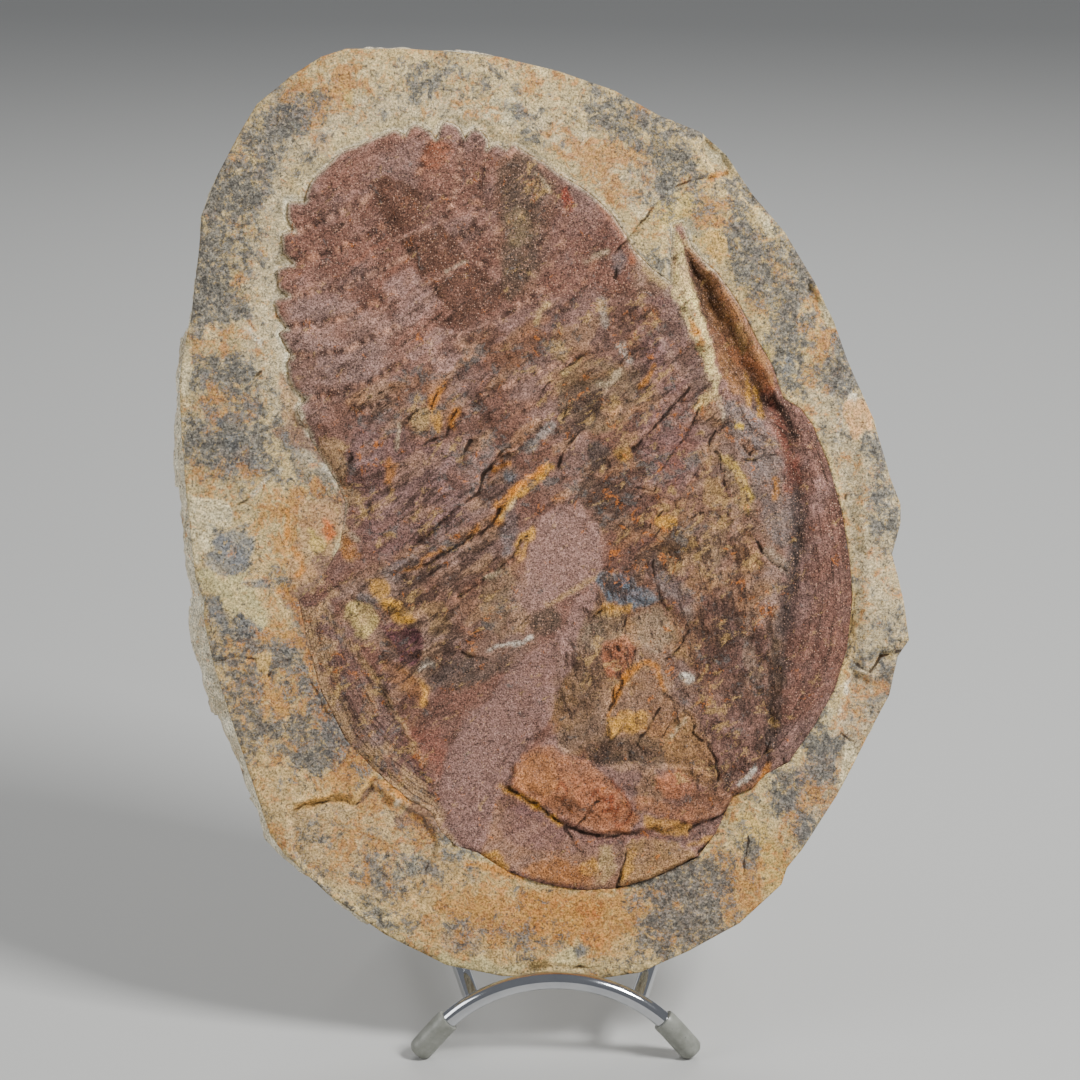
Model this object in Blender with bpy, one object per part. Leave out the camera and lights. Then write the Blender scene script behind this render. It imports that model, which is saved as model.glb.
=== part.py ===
# A large fossil trilobite in a standing slab of shale, leaning on a small stand of bent
# chrome rod with vinyl feet. Blender 4.5, metres, +Z up, the fossil faces -Y.
#
# The stone pieces are drawn in the slab's own face frame, in millimetres: u to the right,
# v up along the face and w out of it, from the middle of the face. They are then leaned back.

import math
import random

import bmesh
import bpy
import numpy as np
from mathutils import Vector, geometry

MM = 0.001
SEED = 11

# Driving sizes of the stone, in mm
LEAN_DEG = 18.0
FACE_CENTRE = (0.36, -16.52, 179.0)
SLAB_THICKNESS = 27.0
SEAT_DEPTH = 9.0
GAP = 0.3
EDGE_DROP = 1.6
MIDDLE_FLARE = 0.7
SLIVER_AREA = 0.02

# Driving sizes of the stand, in mm
ROD_RADIUS = 3.175
CAP_RADIUS = 4.4
CAP_LENGTH = 17.0
STAND_CENTRE_U = 6.0
ARCH_RADIUS = 55.7
ARCH_SWEEP_DEG = 51.0
ARCH_APEX_Z = 30.0
REAR_REACH = 140.0
REAR_APEX_Z = 152.0
REAR_TOP_RADIUS = 44.0
REAR_FOOT_HALF = 52.0
RAIL_Z = 21.0
RAIL_FRONT_HALF = 29.5
RAIL_FRONT_CLEAR = 4.1
RAIL_REAR_CLEAR = 5.6
RAIL_INSET = 1.4
ARCH_CLEARANCE = 0.7
ARCH_STEPS = 10
REAR_STEPS = 9
REAR_TURN_DEG = 84.0
REAR_KNEE = (51.0, 12.0)
ROD_SHORT = 3.4
CAP_RIM_BELOW = 0.45
CAP_TIP_REACH = (2.4, 0.9, 0.0)
CAP_TIP_SHARES = (1.0, 0.93, 0.72)
CAP_BORE_FLOOR = 3.0
CAP_MOUTH_REACH = 1.0
FLOOR_BOX = 30.0

# how far apart the points of the solids stand, and the room each one keeps
FOSSIL_RIM_STEP = 5.5
FOSSIL_LINE_STEP = 5.0
FOSSIL_GRID_STEP = 5.4
FOSSIL_RIM_ROOM = 1.5
FOSSIL_POINT_ROOM = 2.3
FURROW_SHOULDER = 1.3
SLAB_RIM_STEP = 9.0
SLAB_LINE_STEP = 6.0
SLAB_CRACK_STEP = 4.0
SLAB_GRID_STEP = 8.0
SLAB_RIM_RING = 4.0
SEAT_RING = 4.5
SLAB_RIM_ROOM = 2.4
SLAB_POINT_ROOM = 3.2
BACK_GRID_STEP = 18.0
BACK_POINT_ROOM = 9.0
BACK_RIM_ROOM = 6.0
BACK_SKIN = 1.0
MIDDLE_DEPTHS = (8.0, 13.0)
MIDDLE_ROUGHNESS = 1.3
BACK_ROUGHNESS = 1.6
ROW_SHARE = 0.87

FOSSIL_COLOUR = (0.150, 0.074, 0.060)
STONE_COLOUR = (0.330, 0.260, 0.160)
CHROME_COLOUR = (0.62, 0.63, 0.65)
VINYL_COLOUR = (0.30, 0.30, 0.27)

# Outline of the slab's face (mm), clockwise from the top left
SLAB_OUTLINE = [
    (-70, 177), (-50, 177), (-31, 176), (-14, 174), (7, 169), (27, 162), (43, 153), (58, 147),
    (67, 139), (78, 123), (88, 111), (99, 93), (106, 79), (112, 62), (120, 44), (126, 23),
    (130, 13), (130, 6), (127, -5), (131, -22), (133, -36), (129, -42), (126, -56), (118, -71),
    (107, -92), (94, -112), (89, -118), (87, -124), (72, -138), (54, -148), (36, -156),
    (22, -158), (7, -158), (-14, -157), (-34, -153), (-56, -142), (-77, -127), (-92, -113),
    (-97, -106), (-102, -92), (-107, -77), (-112, -62), (-117, -46), (-119, -38), (-121, -29),
    (-121, -22), (-124, -14), (-127, 14), (-129, 36), (-130, 58), (-126, 79), (-123, 104),
    (-122, 117), (-116, 132), (-108, 147), (-102, 157), (-90, 167), (-79, 174),
]

# Outline of the fossil (mm), clockwise from the tail's upper left corner: lobed tail margin,
# right side with the long spine of the cheek, head, left cheek, and the tail's side spines
FOSSIL_OUTLINE = [
    (-90.5, 121.5), (-84.5, 121.5), (-84, 124.5), (-82.5, 128.5), (-80.5, 131), (-75, 136),
    (-72.5, 139), (-70, 140.5), (-65, 142), (-59, 145), (-52, 147.5), (-48.5, 145.5),
    (-47, 148.5), (-44.5, 149.5), (-42.5, 148.5), (-39.5, 147), (-37.5, 144), (-36.5, 147),
    (-35.5, 149.5), (-34, 150.5), (-31.5, 150), (-29, 148.5), (-27, 144.5), (-25.5, 147),
    (-23.5, 148), (-21, 147), (-18.5, 143.5), (-19, 140.5), (-17.5, 142), (-15, 142.5),
    (-12, 140.5), (-9.5, 142.5), (-7.5, 141), (-3.5, 138.5), (2, 135.5), (7, 131.5), (14.5, 127),
    (17.5, 125), (21.5, 121.5), (26, 117), (29, 112.5), (31.5, 108.5), (34, 104), (39.5, 98.5),
    (44, 95), (47, 93), (47, 100), (48, 113.5), (51, 114.5), (54.5, 106), (59, 100.5),
    (63.5, 96.5), (68.5, 89.5), (72.5, 83), (78, 72), (83.5, 63), (87.5, 51), (93.5, 47.5),
    (98, 41.5), (103.5, 28), (108.5, 11), (111.5, -7), (112.5, -21.5), (110.5, -39.5),
    (106, -54), (99, -66.5), (89.5, -80), (81, -84.5), (76.5, -89.5), (69.5, -92), (63, -106),
    (56.5, -114.5), (43, -121), (27.5, -125.5), (14.5, -126), (0, -123.5), (-12.5, -119),
    (-22.5, -112.5), (-30.5, -110), (-36, -104.5), (-39, -98), (-47, -93.5), (-59.5, -83),
    (-70, -72), (-79, -54), (-83.5, -38), (-87, -21.5), (-80, -16), (-72, -2), (-70, 13),
    (-73.5, 21.5), (-76.5, 26.5), (-80, 31.5), (-83, 37.5), (-86.5, 44), (-87.5, 47.5),
    (-84, 50.5), (-88.5, 54.5), (-90, 57.5), (-91, 64), (-89.5, 66.5), (-92, 71), (-94, 74.5),
    (-91, 76), (-94.5, 81), (-95.5, 86.5), (-90, 87.5), (-94, 90.5), (-94.5, 97.5),
    (-88.5, 99.5), (-92.5, 103.5), (-93, 110), (-88.5, 111.5), (-91, 116),
]

# Furrows between the ribs and across the body: (depth mm, half width mm, points)
FURROWS = [
    (0.5, 2.0, [(-87, 111), (-76, 116), (-64, 122), (-56, 128)]),
    (0.5, 2.0, [(-86, 100), (-72, 105), (-56, 113), (-46, 123), (-40, 143)]),
    (0.6, 2.0, [(-88, 88), (-70, 91), (-50, 101), (-38, 108), (-31, 122), (-28, 144)]),
    (0.6, 2.0, [(-90, 77), (-70, 80), (-50, 91), (-36, 102), (-24, 112), (-19, 139)]),
    (0.6, 2.0, [(-89, 66), (-70, 68), (-50, 78), (-36, 90), (-20, 100), (-13, 115), (-10, 140)]),
    (0.7, 2.2, [(-82, 51), (-62, 56), (-46, 66), (-34, 78), (-16, 89), (-6, 102), (0, 134)]),
    (0.9, 2.2, [(-66, 45), (-48, 54), (-34, 66), (-16, 78), (0, 90), (8, 106), (10, 128)]),
    (1.4, 2.6, [(-40, 50), (-30, 59), (-18, 68), (-2, 76), (14, 88), (22, 106), (24, 116)]),
    (1.4, 2.6, [(-34, 40), (-20, 52), (0, 61), (18, 68), (34, 82), (40, 94)]),
    (1.5, 2.6, [(-28, 27), (-22, 40), (-4, 48), (20, 58), (40, 70), (50, 80)]),
    (1.6, 2.6, [(-22, 16), (-14, 30), (4, 38), (24, 46), (44, 58), (58, 68)]),
    (1.2, 2.6, [(-44, -1), (-33, 8), (-22, 18), (-14, 28)]),
    (1.2, 2.6, [(-50, -14), (-36, -6), (-22, 2), (-14, 9)]),
    (1.0, 2.6, [(-30, -21), (-18, -12), (-8, -6)]),
    (1.3, 2.6, [(24, 26), (38, 36), (46, 46), (56, 54)]),
    (1.2, 2.6, [(36, 4), (46, 13), (54, 21), (62, 28)]),
    (1.1, 2.6, [(44, -12), (56, -2), (66, 8), (78, 14)]),
]

# Layers that stand proud (+) or lie low (-): (rise mm, edge width mm, outline)
AXIS_LOBE = (1.3, 7.0, [
    (-62, 129), (-48, 128), (-34, 112), (-20, 94), (-4, 74), (14, 52), (20, 34), (6, 26),
    (-14, 30), (-30, 58), (-40, 84), (-50, 106)])
SMOOTH_BAND = (-1.1, 3.0, [
    (7, 13), (17, 7), (23, -3), (21, -12), (14, -22), (9, -34), (2, -53), (-6, -70), (-12, -83),
    (-17, -94), (-20, -106), (-26, -113), (-36, -106), (-39, -93), (-36, -80), (-32, -70),
    (-18, -54), (-9, -43), (-4, -36), (-9, -28), (-5, -14), (-4, 2)])
HEAD_SHIELD = (1.6, 7.0, [
    (10, -36), (28, -28), (48, -26), (62, -36), (72, -56), (76, -78), (68, -88), (48, -98),
    (22, -102), (2, -96), (-9, -88), (-2, -66), (6, -50)])
UPPER_PLATE = (1.5, 1.2, [
    (-12, -88), (-9, -80), (-4, -73), (4, -71), (12, -77), (22, -81), (44, -79), (60, -82),
    (69, -92), (66, -99), (56, -102), (32, -106), (16, -105), (6, -100), (-2, -96)])
RIGHT_SUB_PLATE = (1.2, 1.2, [
    (30, -107), (42, -107), (54, -110), (57, -114), (50, -118), (38, -123), (28, -125),
    (29, -116)])
CHEEK = (2.0, 8.0, [
    (90, 50), (98, 41), (104, 28), (109, 10), (112, -10), (112, -26), (109, -46), (101, -64),
    (90, -80), (84, -76), (85, -56), (88, -36), (94, -14), (96, 8), (93, 28)])
GROOVE = (-5.0, 6.5, [
    (48, 114), (54, 104), (64, 96), (70, 84), (79, 68), (84, 58), (88, 46), (80, 42),
    (70, 48), (64, 60), (58, 76), (52, 90)])
CHEEK_VALLEY = (1.8, 3.2, [
    (86, 46), (89, 34), (93, 14), (92, -8), (88, -24), (84, -44), (83, -64), (80, -80)])
LEFT_CHEEK = (1.0, 5.0, [
    (-86, -23), (-76, -26), (-66, -44), (-54, -62), (-44, -80), (-40, -94), (-52, -88),
    (-66, -74), (-76, -58), (-83, -38)])
BROKEN_PATCH = (-1.2, 3.0, [
    (-70, -18), (-54, -22), (-42, -30), (-42, -46), (-52, -44), (-62, -34)])
ORANGE_RIDGE = (-1.6, 1.6, [(-17, 10), (-14, 15), (-6, 21), (3, 28)])
FOSSIL_LAYERS = [AXIS_LOBE, SMOOTH_BAND, HEAD_SHIELD, UPPER_PLATE, RIGHT_SUB_PLATE, CHEEK,
                 GROOVE, LEFT_CHEEK, BROKEN_PATCH]
FOSSIL_CUTS = FURROWS + [CHEEK_VALLEY, ORANGE_RIDGE]

RIGHT_PANEL = (2.2, 1.6, [
    (112, 40), (120, 46), (128, 24), (132, 8), (129, -6), (135, -24), (135, -38), (122, -42),
    (118, -47), (112, -43), (114, -20), (113, 4)])
LOWER_LEFT_SCAR = (-1.8, 1.6, [
    (-90, -95), (-78, -92), (-66, -92), (-60, -88), (-52, -94), (-42, -98), (-36, -110),
    (-44, -128), (-58, -138), (-76, -126), (-90, -112)])
CORNER_CHIP = (-2.6, 2.5, [
    (58, 148), (68, 140), (80, 122), (77, 119), (66, 130), (56, 140)])
RIGHT_CHIP = (-2.4, 2.5, [
    (97, 96), (108, 80), (115, 62), (109, 62), (101, 76), (94, 90)])
RIGHT_LOW_SURFACE = (-1.8, 3.0, [
    (112, -46), (120, -50), (130, -44), (128, -60), (120, -72), (110, -86), (104, -80),
    (108, -62)])
SLAB_LAYERS = [RIGHT_PANEL, LOWER_LEFT_SCAR, CORNER_CHIP, RIGHT_CHIP, RIGHT_LOW_SURFACE]
CRACKS = [
    (1.2, 1.8, [(67, 134), (58, 130), (50, 129), (42, 123), (35, 112)]),
    (1.0, 1.8, [(-117, -43), (-106, -43), (-98, -49), (-90, -43)]),
    (1.0, 1.8, [(71, -100), (74, -112), (72, -124)]),
]

# Where the broken edge flares out behind the face (mm at the back): (middle u, v, reach, flare)
EDGE_FLARES = [(-118, -58, 62, 6.5), (-124, 30, 60, 3.0), (0, -160, 70, -5.5), (60, 150, 70, -4.0),
               (128, 20, 60, -3.0)]


# ---- small geometry helpers ----------------------------------------------------------------

def resampled(points, step, closed=True):
    """Points no further than step apart along a line, keeping every corner."""
    ends = points + points[:1] if closed else points
    result = []
    for (ax, ay), (bx, by) in zip(ends, ends[1:]):
        pieces = max(1, round(math.hypot(bx - ax, by - ay) / step))
        result += [(ax + (bx - ax) * i / pieces, ay + (by - ay) * i / pieces)
                   for i in range(pieces)]
    return result if closed else result + [points[-1]]


def offset_loop(points, distance):
    """A clockwise loop moved outward (+) or inward (-) along its corner normals."""
    result = []
    count = len(points)
    for i, (x, y) in enumerate(points):
        px, py = points[i - 1]
        nx, ny = points[(i + 1) % count]
        before = Vector((py - y, x - px)).normalized()
        after = Vector((y - ny, nx - x)).normalized()
        normal = (before + after).normalized()
        reach = distance / max(0.5, normal.dot(before))
        result.append((x + normal.x * reach, y + normal.y * reach))
    return result


def line_distance(p, line, closed=False):
    """Distance of each point in p from a polyline."""
    ends = line + line[:1] if closed else line
    best = np.full(len(p), 1e9)
    for a, b in zip(ends, ends[1:]):
        a = np.array(a, float)
        along = np.array(b, float) - a
        t = np.clip((p - a) @ along / max(along @ along, 1e-9), 0, 1)
        best = np.minimum(best, np.linalg.norm(p - a - t[:, None] * along, axis=1))
    return best


def inside(p, outline):
    """Which points of p lie inside a closed outline."""
    hit = np.zeros(len(p), bool)
    for (ax, ay), (bx, by) in zip(outline, outline[1:] + outline[:1]):
        if ay == by:
            continue
        crosses = (ay > p[:, 1]) != (by > p[:, 1])
        hit ^= crosses & (p[:, 0] < (bx - ax) * (p[:, 1] - ay) / (by - ay) + ax)
    return hit


def depth_inside(p, outline):
    """Distance from an outline, positive inside it."""
    return np.where(inside(p, outline), 1, -1) * line_distance(p, outline, closed=True)


def smooth(t):
    t = np.clip(t, 0, 1)
    return t * t * (3 - 2 * t)


# ---- relief ----------------------------------------------------------------------------------

def relief(p, layers, cuts):
    """Height from the layers and furrows that cross each point."""
    height = np.zeros(len(p))
    for rise, width, outline in layers:
        height += rise * smooth(depth_inside(p, outline) / width)
    for depth, width, line in cuts:
        height -= depth * np.exp(-(line_distance(p, line) / width) ** 2)
    return height


def stone_height(p):
    """Height of the slab's broken face: slow swells, a cut moat and low edges."""
    u, v = p[:, 0], p[:, 1]
    swell = 0.8 * np.sin(u / 31 + 0.6) * np.cos(v / 44) + 0.5 * np.sin(u / 13 - v / 19)
    edge = np.exp(-np.maximum(depth_inside(p, SLAB_OUTLINE), 0) / 5)
    moat = np.exp(-(line_distance(p, FOSSIL_OUTLINE, closed=True) / 5) ** 2) * smooth((v + 10) / 60)
    return swell - EDGE_DROP * edge - 0.9 * moat + relief(p, SLAB_LAYERS, CRACKS)


def fossil_height(p):
    """Height of the carapace: a low vault along the body, lobes, ribs, plates and grooves."""
    u, v = p[:, 0], p[:, 1]
    along = (u - v) / math.sqrt(2)
    across = (u + v + 12) / math.sqrt(2)
    vault = 3.4 * np.exp(-(across / 44) ** 2) * np.exp(-((along - 4) / 105) ** 4)
    rim = 1.0 * smooth(depth_inside(p, FOSSIL_OUTLINE) / 3)
    return 0.4 + rim + vault + relief(p, FOSSIL_LAYERS, FOSSIL_CUTS)


# ---- sheets and solids -----------------------------------------------------------------------

def spaced(candidates, taken, gap):
    """Candidates that keep a gap to each other and to the points already taken."""
    kept = list(taken)
    chosen = []
    for point in candidates:
        near = np.array(kept) - point
        if (near * near).sum(axis=1).min() > gap * gap:
            kept.append(point)
            chosen.append(point)
    return chosen


def grid_points(outline, step):
    us = [p[0] for p in outline]
    vs = [p[1] for p in outline]
    rows = np.arange(min(vs), max(vs), step * ROW_SHARE)
    return [(u + (row % 2) * step / 2, v) for row, v in enumerate(rows)
            for u in np.arange(min(us), max(us), step)]


def sheet(loops, inner):
    """Triangles inside the first loop and outside any others, through the inner points."""
    points = [p for loop in loops for p in loop]
    edges = []
    start = 0
    for loop in loops:
        edges += [(start + i, start + (i + 1) % len(loop)) for i in range(len(loop))]
        start += len(loop)
    points = [Vector(p) for p in points + list(inner)]
    flat, _, faces, origins, _, _ = geometry.delaunay_2d_cdt(points, edges, [], 0, 1e-5, True)
    flat = np.array([tuple(p) for p in flat])
    place = {source: new for new, sources in enumerate(origins) for source in sources}
    corners = np.array([flat[list(face)] for face in faces])
    middles = corners.mean(axis=1)
    side, other = corners[:, 1] - corners[:, 0], corners[:, 2] - corners[:, 0]
    kept = inside(middles, loops[0])
    kept &= np.abs(side[:, 0] * other[:, 1] - side[:, 1] * other[:, 0]) > SLIVER_AREA
    for hole in loops[1:]:
        kept &= ~inside(middles, hole)
    return flat, [list(face) for face, keep in zip(faces, kept) if keep], place, start


def add_sheet(bm, flat, faces, heights, flip):
    """Lay a sheet's triangles in the mesh. Returns its vertices."""
    verts = [bm.verts.new((x * MM, y * MM, h * MM)) for (x, y), h in zip(flat, heights)]
    for face in faces:
        order = [verts[i] for i in face]
        bm.faces.new(order[::-1] if flip else order)
    return verts


def add_wall(bm, upper, lower):
    """Triangles between two rings of equal count."""
    count = len(upper)
    for i in range(count):
        j = (i + 1) % count
        bm.faces.new((upper[i], upper[j], lower[j]))
        bm.faces.new((upper[i], lower[j], lower[i]))


def make_material(name, colour, roughness, metallic=0.0):
    material = bpy.data.materials.new(name)
    material.use_nodes = True
    shader = material.node_tree.nodes["Principled BSDF"]
    shader.inputs["Base Color"].default_value = (*colour, 1.0)
    shader.inputs["Roughness"].default_value = roughness
    shader.inputs["Metallic"].default_value = metallic
    return material


def place_on_face(name, bm, material, collection):
    """Close a face-frame mesh into a named object that leans back on the stand."""
    bmesh.ops.recalc_face_normals(bm, faces=bm.faces)
    mesh = bpy.data.meshes.new(name)
    bm.to_mesh(mesh)
    bm.free()
    mesh.materials.append(material)
    piece = bpy.data.objects.new(name, mesh)
    piece.location = [c * MM for c in FACE_CENTRE]
    piece.rotation_euler = (math.radians(90 - LEAN_DEG), 0, 0)
    collection.objects.link(piece)
    return piece


def build_fossil(collection):
    loop = resampled(FOSSIL_OUTLINE, FOSSIL_RIM_STEP)
    candidates = [p for _, _, line in FOSSIL_CUTS
                  for p in resampled(line, FOSSIL_LINE_STEP, closed=False)]
    for _, width, outline in (UPPER_PLATE, RIGHT_SUB_PLATE, SMOOTH_BAND):
        candidates += resampled(outline, FOSSIL_LINE_STEP)
        candidates += resampled(offset_loop(outline, -width), FOSSIL_LINE_STEP)
    for _, width, line in FURROWS:
        reach = width * FURROW_SHOULDER
        candidates += [(x + side * reach, y - side * reach)
                       for x, y in resampled(line, FOSSIL_LINE_STEP, closed=False)
                       for side in (-1, 1)]
    candidates += grid_points(FOSSIL_OUTLINE, FOSSIL_GRID_STEP)
    room = depth_inside(np.array(candidates), FOSSIL_OUTLINE)
    inner = spaced([p for p, r in zip(candidates, room) if r > FOSSIL_RIM_ROOM], loop,
                   FOSSIL_POINT_ROOM)
    flat, faces, place, loop_end = sheet([loop], inner)
    bm = bmesh.new()
    front = add_sheet(bm, flat, faces, fossil_height(flat), flip=False)
    back_flat, back_faces, back_place, _ = sheet([loop], [])
    floor = np.full(len(back_flat), -SEAT_DEPTH + GAP)
    back = add_sheet(bm, back_flat, back_faces, floor, flip=True)
    add_wall(bm, [front[place[i]] for i in range(loop_end)],
             [back[back_place[i]] for i in range(loop_end)])
    material = make_material("fossil_plum", FOSSIL_COLOUR, 0.75)
    return place_on_face("trilobite", bm, material, collection)


def edge_flare(p):
    return sum(flare * np.exp(-((p[:, 0] - u) ** 2 + (p[:, 1] - v) ** 2) / reach ** 2)
               for u, v, reach, flare in EDGE_FLARES)


def flared_loop(loop, share, rough, chance):
    """The broken edge behind the face: the loop moved out by its flare, with knapped corners."""
    flares = edge_flare(np.array(loop)) * share
    result = []
    for i, (x, y) in enumerate(loop):
        px, py = loop[i - 1]
        nx, ny = loop[(i + 1) % len(loop)]
        out = Vector((-(ny - py), nx - px)).normalized()
        reach = flares[i] + chance.uniform(-rough, rough)
        result.append((x + out.x * reach, y + out.y * reach))
    return result


def build_slab(collection):
    chance = random.Random(SEED)
    outer = resampled(SLAB_OUTLINE, SLAB_RIM_STEP)
    seat = offset_loop(resampled(FOSSIL_OUTLINE, FOSSIL_RIM_STEP), GAP)
    candidates = offset_loop(resampled(FOSSIL_OUTLINE, SLAB_LINE_STEP), SEAT_RING)
    candidates += offset_loop(resampled(SLAB_OUTLINE, SLAB_GRID_STEP), -SLAB_RIM_RING)
    for _, width, outline in SLAB_LAYERS:
        candidates += resampled(outline, SLAB_LINE_STEP)
        candidates += resampled(offset_loop(outline, -width), SLAB_LINE_STEP)
    for _, _, line in CRACKS:
        candidates += resampled(line, SLAB_CRACK_STEP, closed=False)
    candidates += grid_points(SLAB_OUTLINE, SLAB_GRID_STEP)
    room = np.minimum(depth_inside(np.array(candidates), SLAB_OUTLINE),
                      -depth_inside(np.array(candidates), FOSSIL_OUTLINE))
    inner = spaced([p for p, r in zip(candidates, room) if r > SLAB_RIM_ROOM], outer + seat,
                   SLAB_POINT_ROOM)
    flat, faces, place, _ = sheet([outer, seat], inner)
    bm = bmesh.new()
    front = add_sheet(bm, flat, faces, stone_height(flat), flip=False)
    face_ring = [front[place[i]] for i in range(len(outer))]
    seat_ring = [front[place[len(outer) + i]] for i in range(len(seat))]

    floor_flat, floor_faces, floor_place, _ = sheet([seat], [])
    floor = add_sheet(bm, floor_flat, floor_faces, np.full(len(floor_flat), -SEAT_DEPTH), False)
    add_wall(bm, [floor[floor_place[i]] for i in range(len(seat))], seat_ring)

    middle = flared_loop(outer, MIDDLE_FLARE, MIDDLE_ROUGHNESS, chance)
    middle_ring = [bm.verts.new((x * MM, y * MM, -chance.uniform(*MIDDLE_DEPTHS) * MM))
                   for x, y in middle]
    back_loop = flared_loop(outer, 1.0, BACK_ROUGHNESS, chance)
    back_inner = spaced(grid_points(back_loop, BACK_GRID_STEP), back_loop, BACK_POINT_ROOM)
    back_room = depth_inside(np.array(back_inner), back_loop)
    back_inner = [p for p, r in zip(back_inner, back_room) if r > BACK_RIM_ROOM]
    back_flat, back_faces, back_place, _ = sheet([back_loop], back_inner)
    back_heights = [-SLAB_THICKNESS + chance.uniform(-BACK_SKIN, BACK_SKIN) for _ in back_flat]
    back = add_sheet(bm, back_flat, back_faces, back_heights, flip=True)
    back_ring = [back[back_place[i]] for i in range(len(outer))]
    add_wall(bm, face_ring, middle_ring)
    add_wall(bm, middle_ring, back_ring)
    material = make_material("matrix_stone", STONE_COLOUR, 0.9)
    return place_on_face("slab", bm, material, collection)


# ---- stand -----------------------------------------------------------------------------------

def stand_point(x, y, z):
    return Vector(((STAND_CENTRE_U + x) * MM, (FRONT_Y + y) * MM, z * MM))


def lip_offset():
    """How far the front arch stands before the face's middle, so that its rod clears the stone."""
    lean = math.radians(LEAN_DEG)
    drop = FACE_CENTRE[2] - ARCH_APEX_Z
    clear = ROD_RADIUS + GAP + ARCH_CLEARANCE
    along = (drop + clear * math.sin(lean)) / math.cos(lean)
    return along * math.sin(lean) + clear * math.cos(lean)


FRONT_Y = FACE_CENTRE[1] - lip_offset()


def tube_mesh(points, radius, tip_radii=()):
    """A mesh of round rod along the points. tip_radii narrow the last points."""
    data = bpy.data.curves.new("tube", "CURVE")
    data.dimensions = "3D"
    data.bevel_depth = radius
    data.bevel_resolution = 2
    data.use_fill_caps = True
    spline = data.splines.new("POLY")
    spline.points.add(len(points) - 1)
    radii = [1.0] * (len(points) - len(tip_radii)) + list(tip_radii)
    for knot, point, share in zip(spline.points, points, radii):
        knot.co = (*point, 1.0)
        knot.radius = share
    guide = bpy.data.objects.new("tube", data)
    bpy.context.scene.collection.objects.link(guide)
    graph = bpy.context.evaluated_depsgraph_get()
    mesh = bpy.data.meshes.new_from_object(guide.evaluated_get(graph))
    bpy.data.objects.remove(guide)
    bpy.data.curves.remove(data)
    bm = bmesh.new()
    bm.from_mesh(mesh)
    bmesh.ops.remove_doubles(bm, verts=bm.verts, dist=1e-6)
    bmesh.ops.recalc_face_normals(bm, faces=bm.faces)
    bm.to_mesh(mesh)
    bm.free()
    return mesh


def add_tube(name, points, radius, material, collection, tip_radii=()):
    mesh = tube_mesh(points, radius, tip_radii)
    mesh.name = name
    mesh.materials.clear()
    mesh.materials.append(material)
    mesh.shade_smooth()
    mesh.set_sharp_from_angle(angle=math.radians(40))
    piece = bpy.data.objects.new(name, mesh)
    collection.objects.link(piece)
    return piece


def trimmed(path, length):
    """The path from its end back over a length, in order towards the end."""
    kept = [path[-1]]
    left = length
    for a, b in zip(path[-2::-1], path[:0:-1]):
        step = (a - b).length
        if step >= left:
            return ([b + (a - b) * (left / step)] + kept) if left > 1e-9 else kept
        kept.insert(0, a)
        left -= step
    return kept


def shortened(path, length):
    """The path without the last length of it."""
    points = list(path)
    left = length
    while (points[-1] - points[-2]).length <= left:
        left -= (points[-1] - points[-2]).length
        points.pop()
    along = (points[-2] - points[-1]).normalized()
    points[-1] = points[-1] + along * left
    return points


def half_front_arch(side):
    """Front arch from its apex to one foot tip."""
    sweep = math.radians(ARCH_SWEEP_DEG)
    points = []
    for i in range(ARCH_STEPS + 1):
        turn = sweep * i / ARCH_STEPS
        points.append(stand_point(side * ARCH_RADIUS * math.sin(turn), 0,
                                  ARCH_APEX_Z - ARCH_RADIUS * (1 - math.cos(turn))))
    return foot_extended(points)


def foot_extended(points):
    """Run the last straight on until the cap's rim is a little below the floor."""
    along = (points[-1] - points[-2]).normalized()
    rim_drop = CAP_RADIUS * CAP_TIP_SHARES[-1] * MM * math.sqrt(1 - along.z ** 2)
    length = (points[-1].z - rim_drop + CAP_RIM_BELOW * MM) / -along.z
    return points + [points[-1] + along * length]


def half_rear_arch(side):
    """Rear arch from its apex, which touches the back of the slab, to one foot tip."""
    shoulder = REAR_APEX_Z - REAR_TOP_RADIUS
    flat = []
    for i in range(REAR_STEPS + 1):
        turn = math.radians(REAR_TURN_DEG) * i / REAR_STEPS
        flat.append((REAR_TOP_RADIUS * math.sin(turn),
                     shoulder + REAR_TOP_RADIUS * math.cos(turn)))
    flat.append(REAR_KNEE)
    apex_y = rear_apex_y()
    points = []
    for x, z in flat:
        y = apex_y + (REAR_REACH - apex_y) * (1 - z / REAR_APEX_Z)
        points.append(stand_point(side * x, y, z))
    return foot_extended(points)


def rear_apex_y():
    """Depth of the rear apex behind the front arch, just clear of the slab's back."""
    lean = math.radians(LEAN_DEG)
    rise = FACE_CENTRE[2] - REAR_APEX_Z
    out = SLAB_THICKNESS + BACK_SKIN + GAP + ROD_RADIUS
    along = (rise - out * math.sin(lean)) / math.cos(lean)
    return lip_offset() - along * math.sin(lean) + out * math.cos(lean)


def add_cutter(name, mesh):
    cutter = bpy.data.objects.new(name, mesh)
    cutter.hide_render = True
    cutter.display_type = "WIRE"
    bpy.context.scene.collection.objects.link(cutter)
    return cutter


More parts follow.
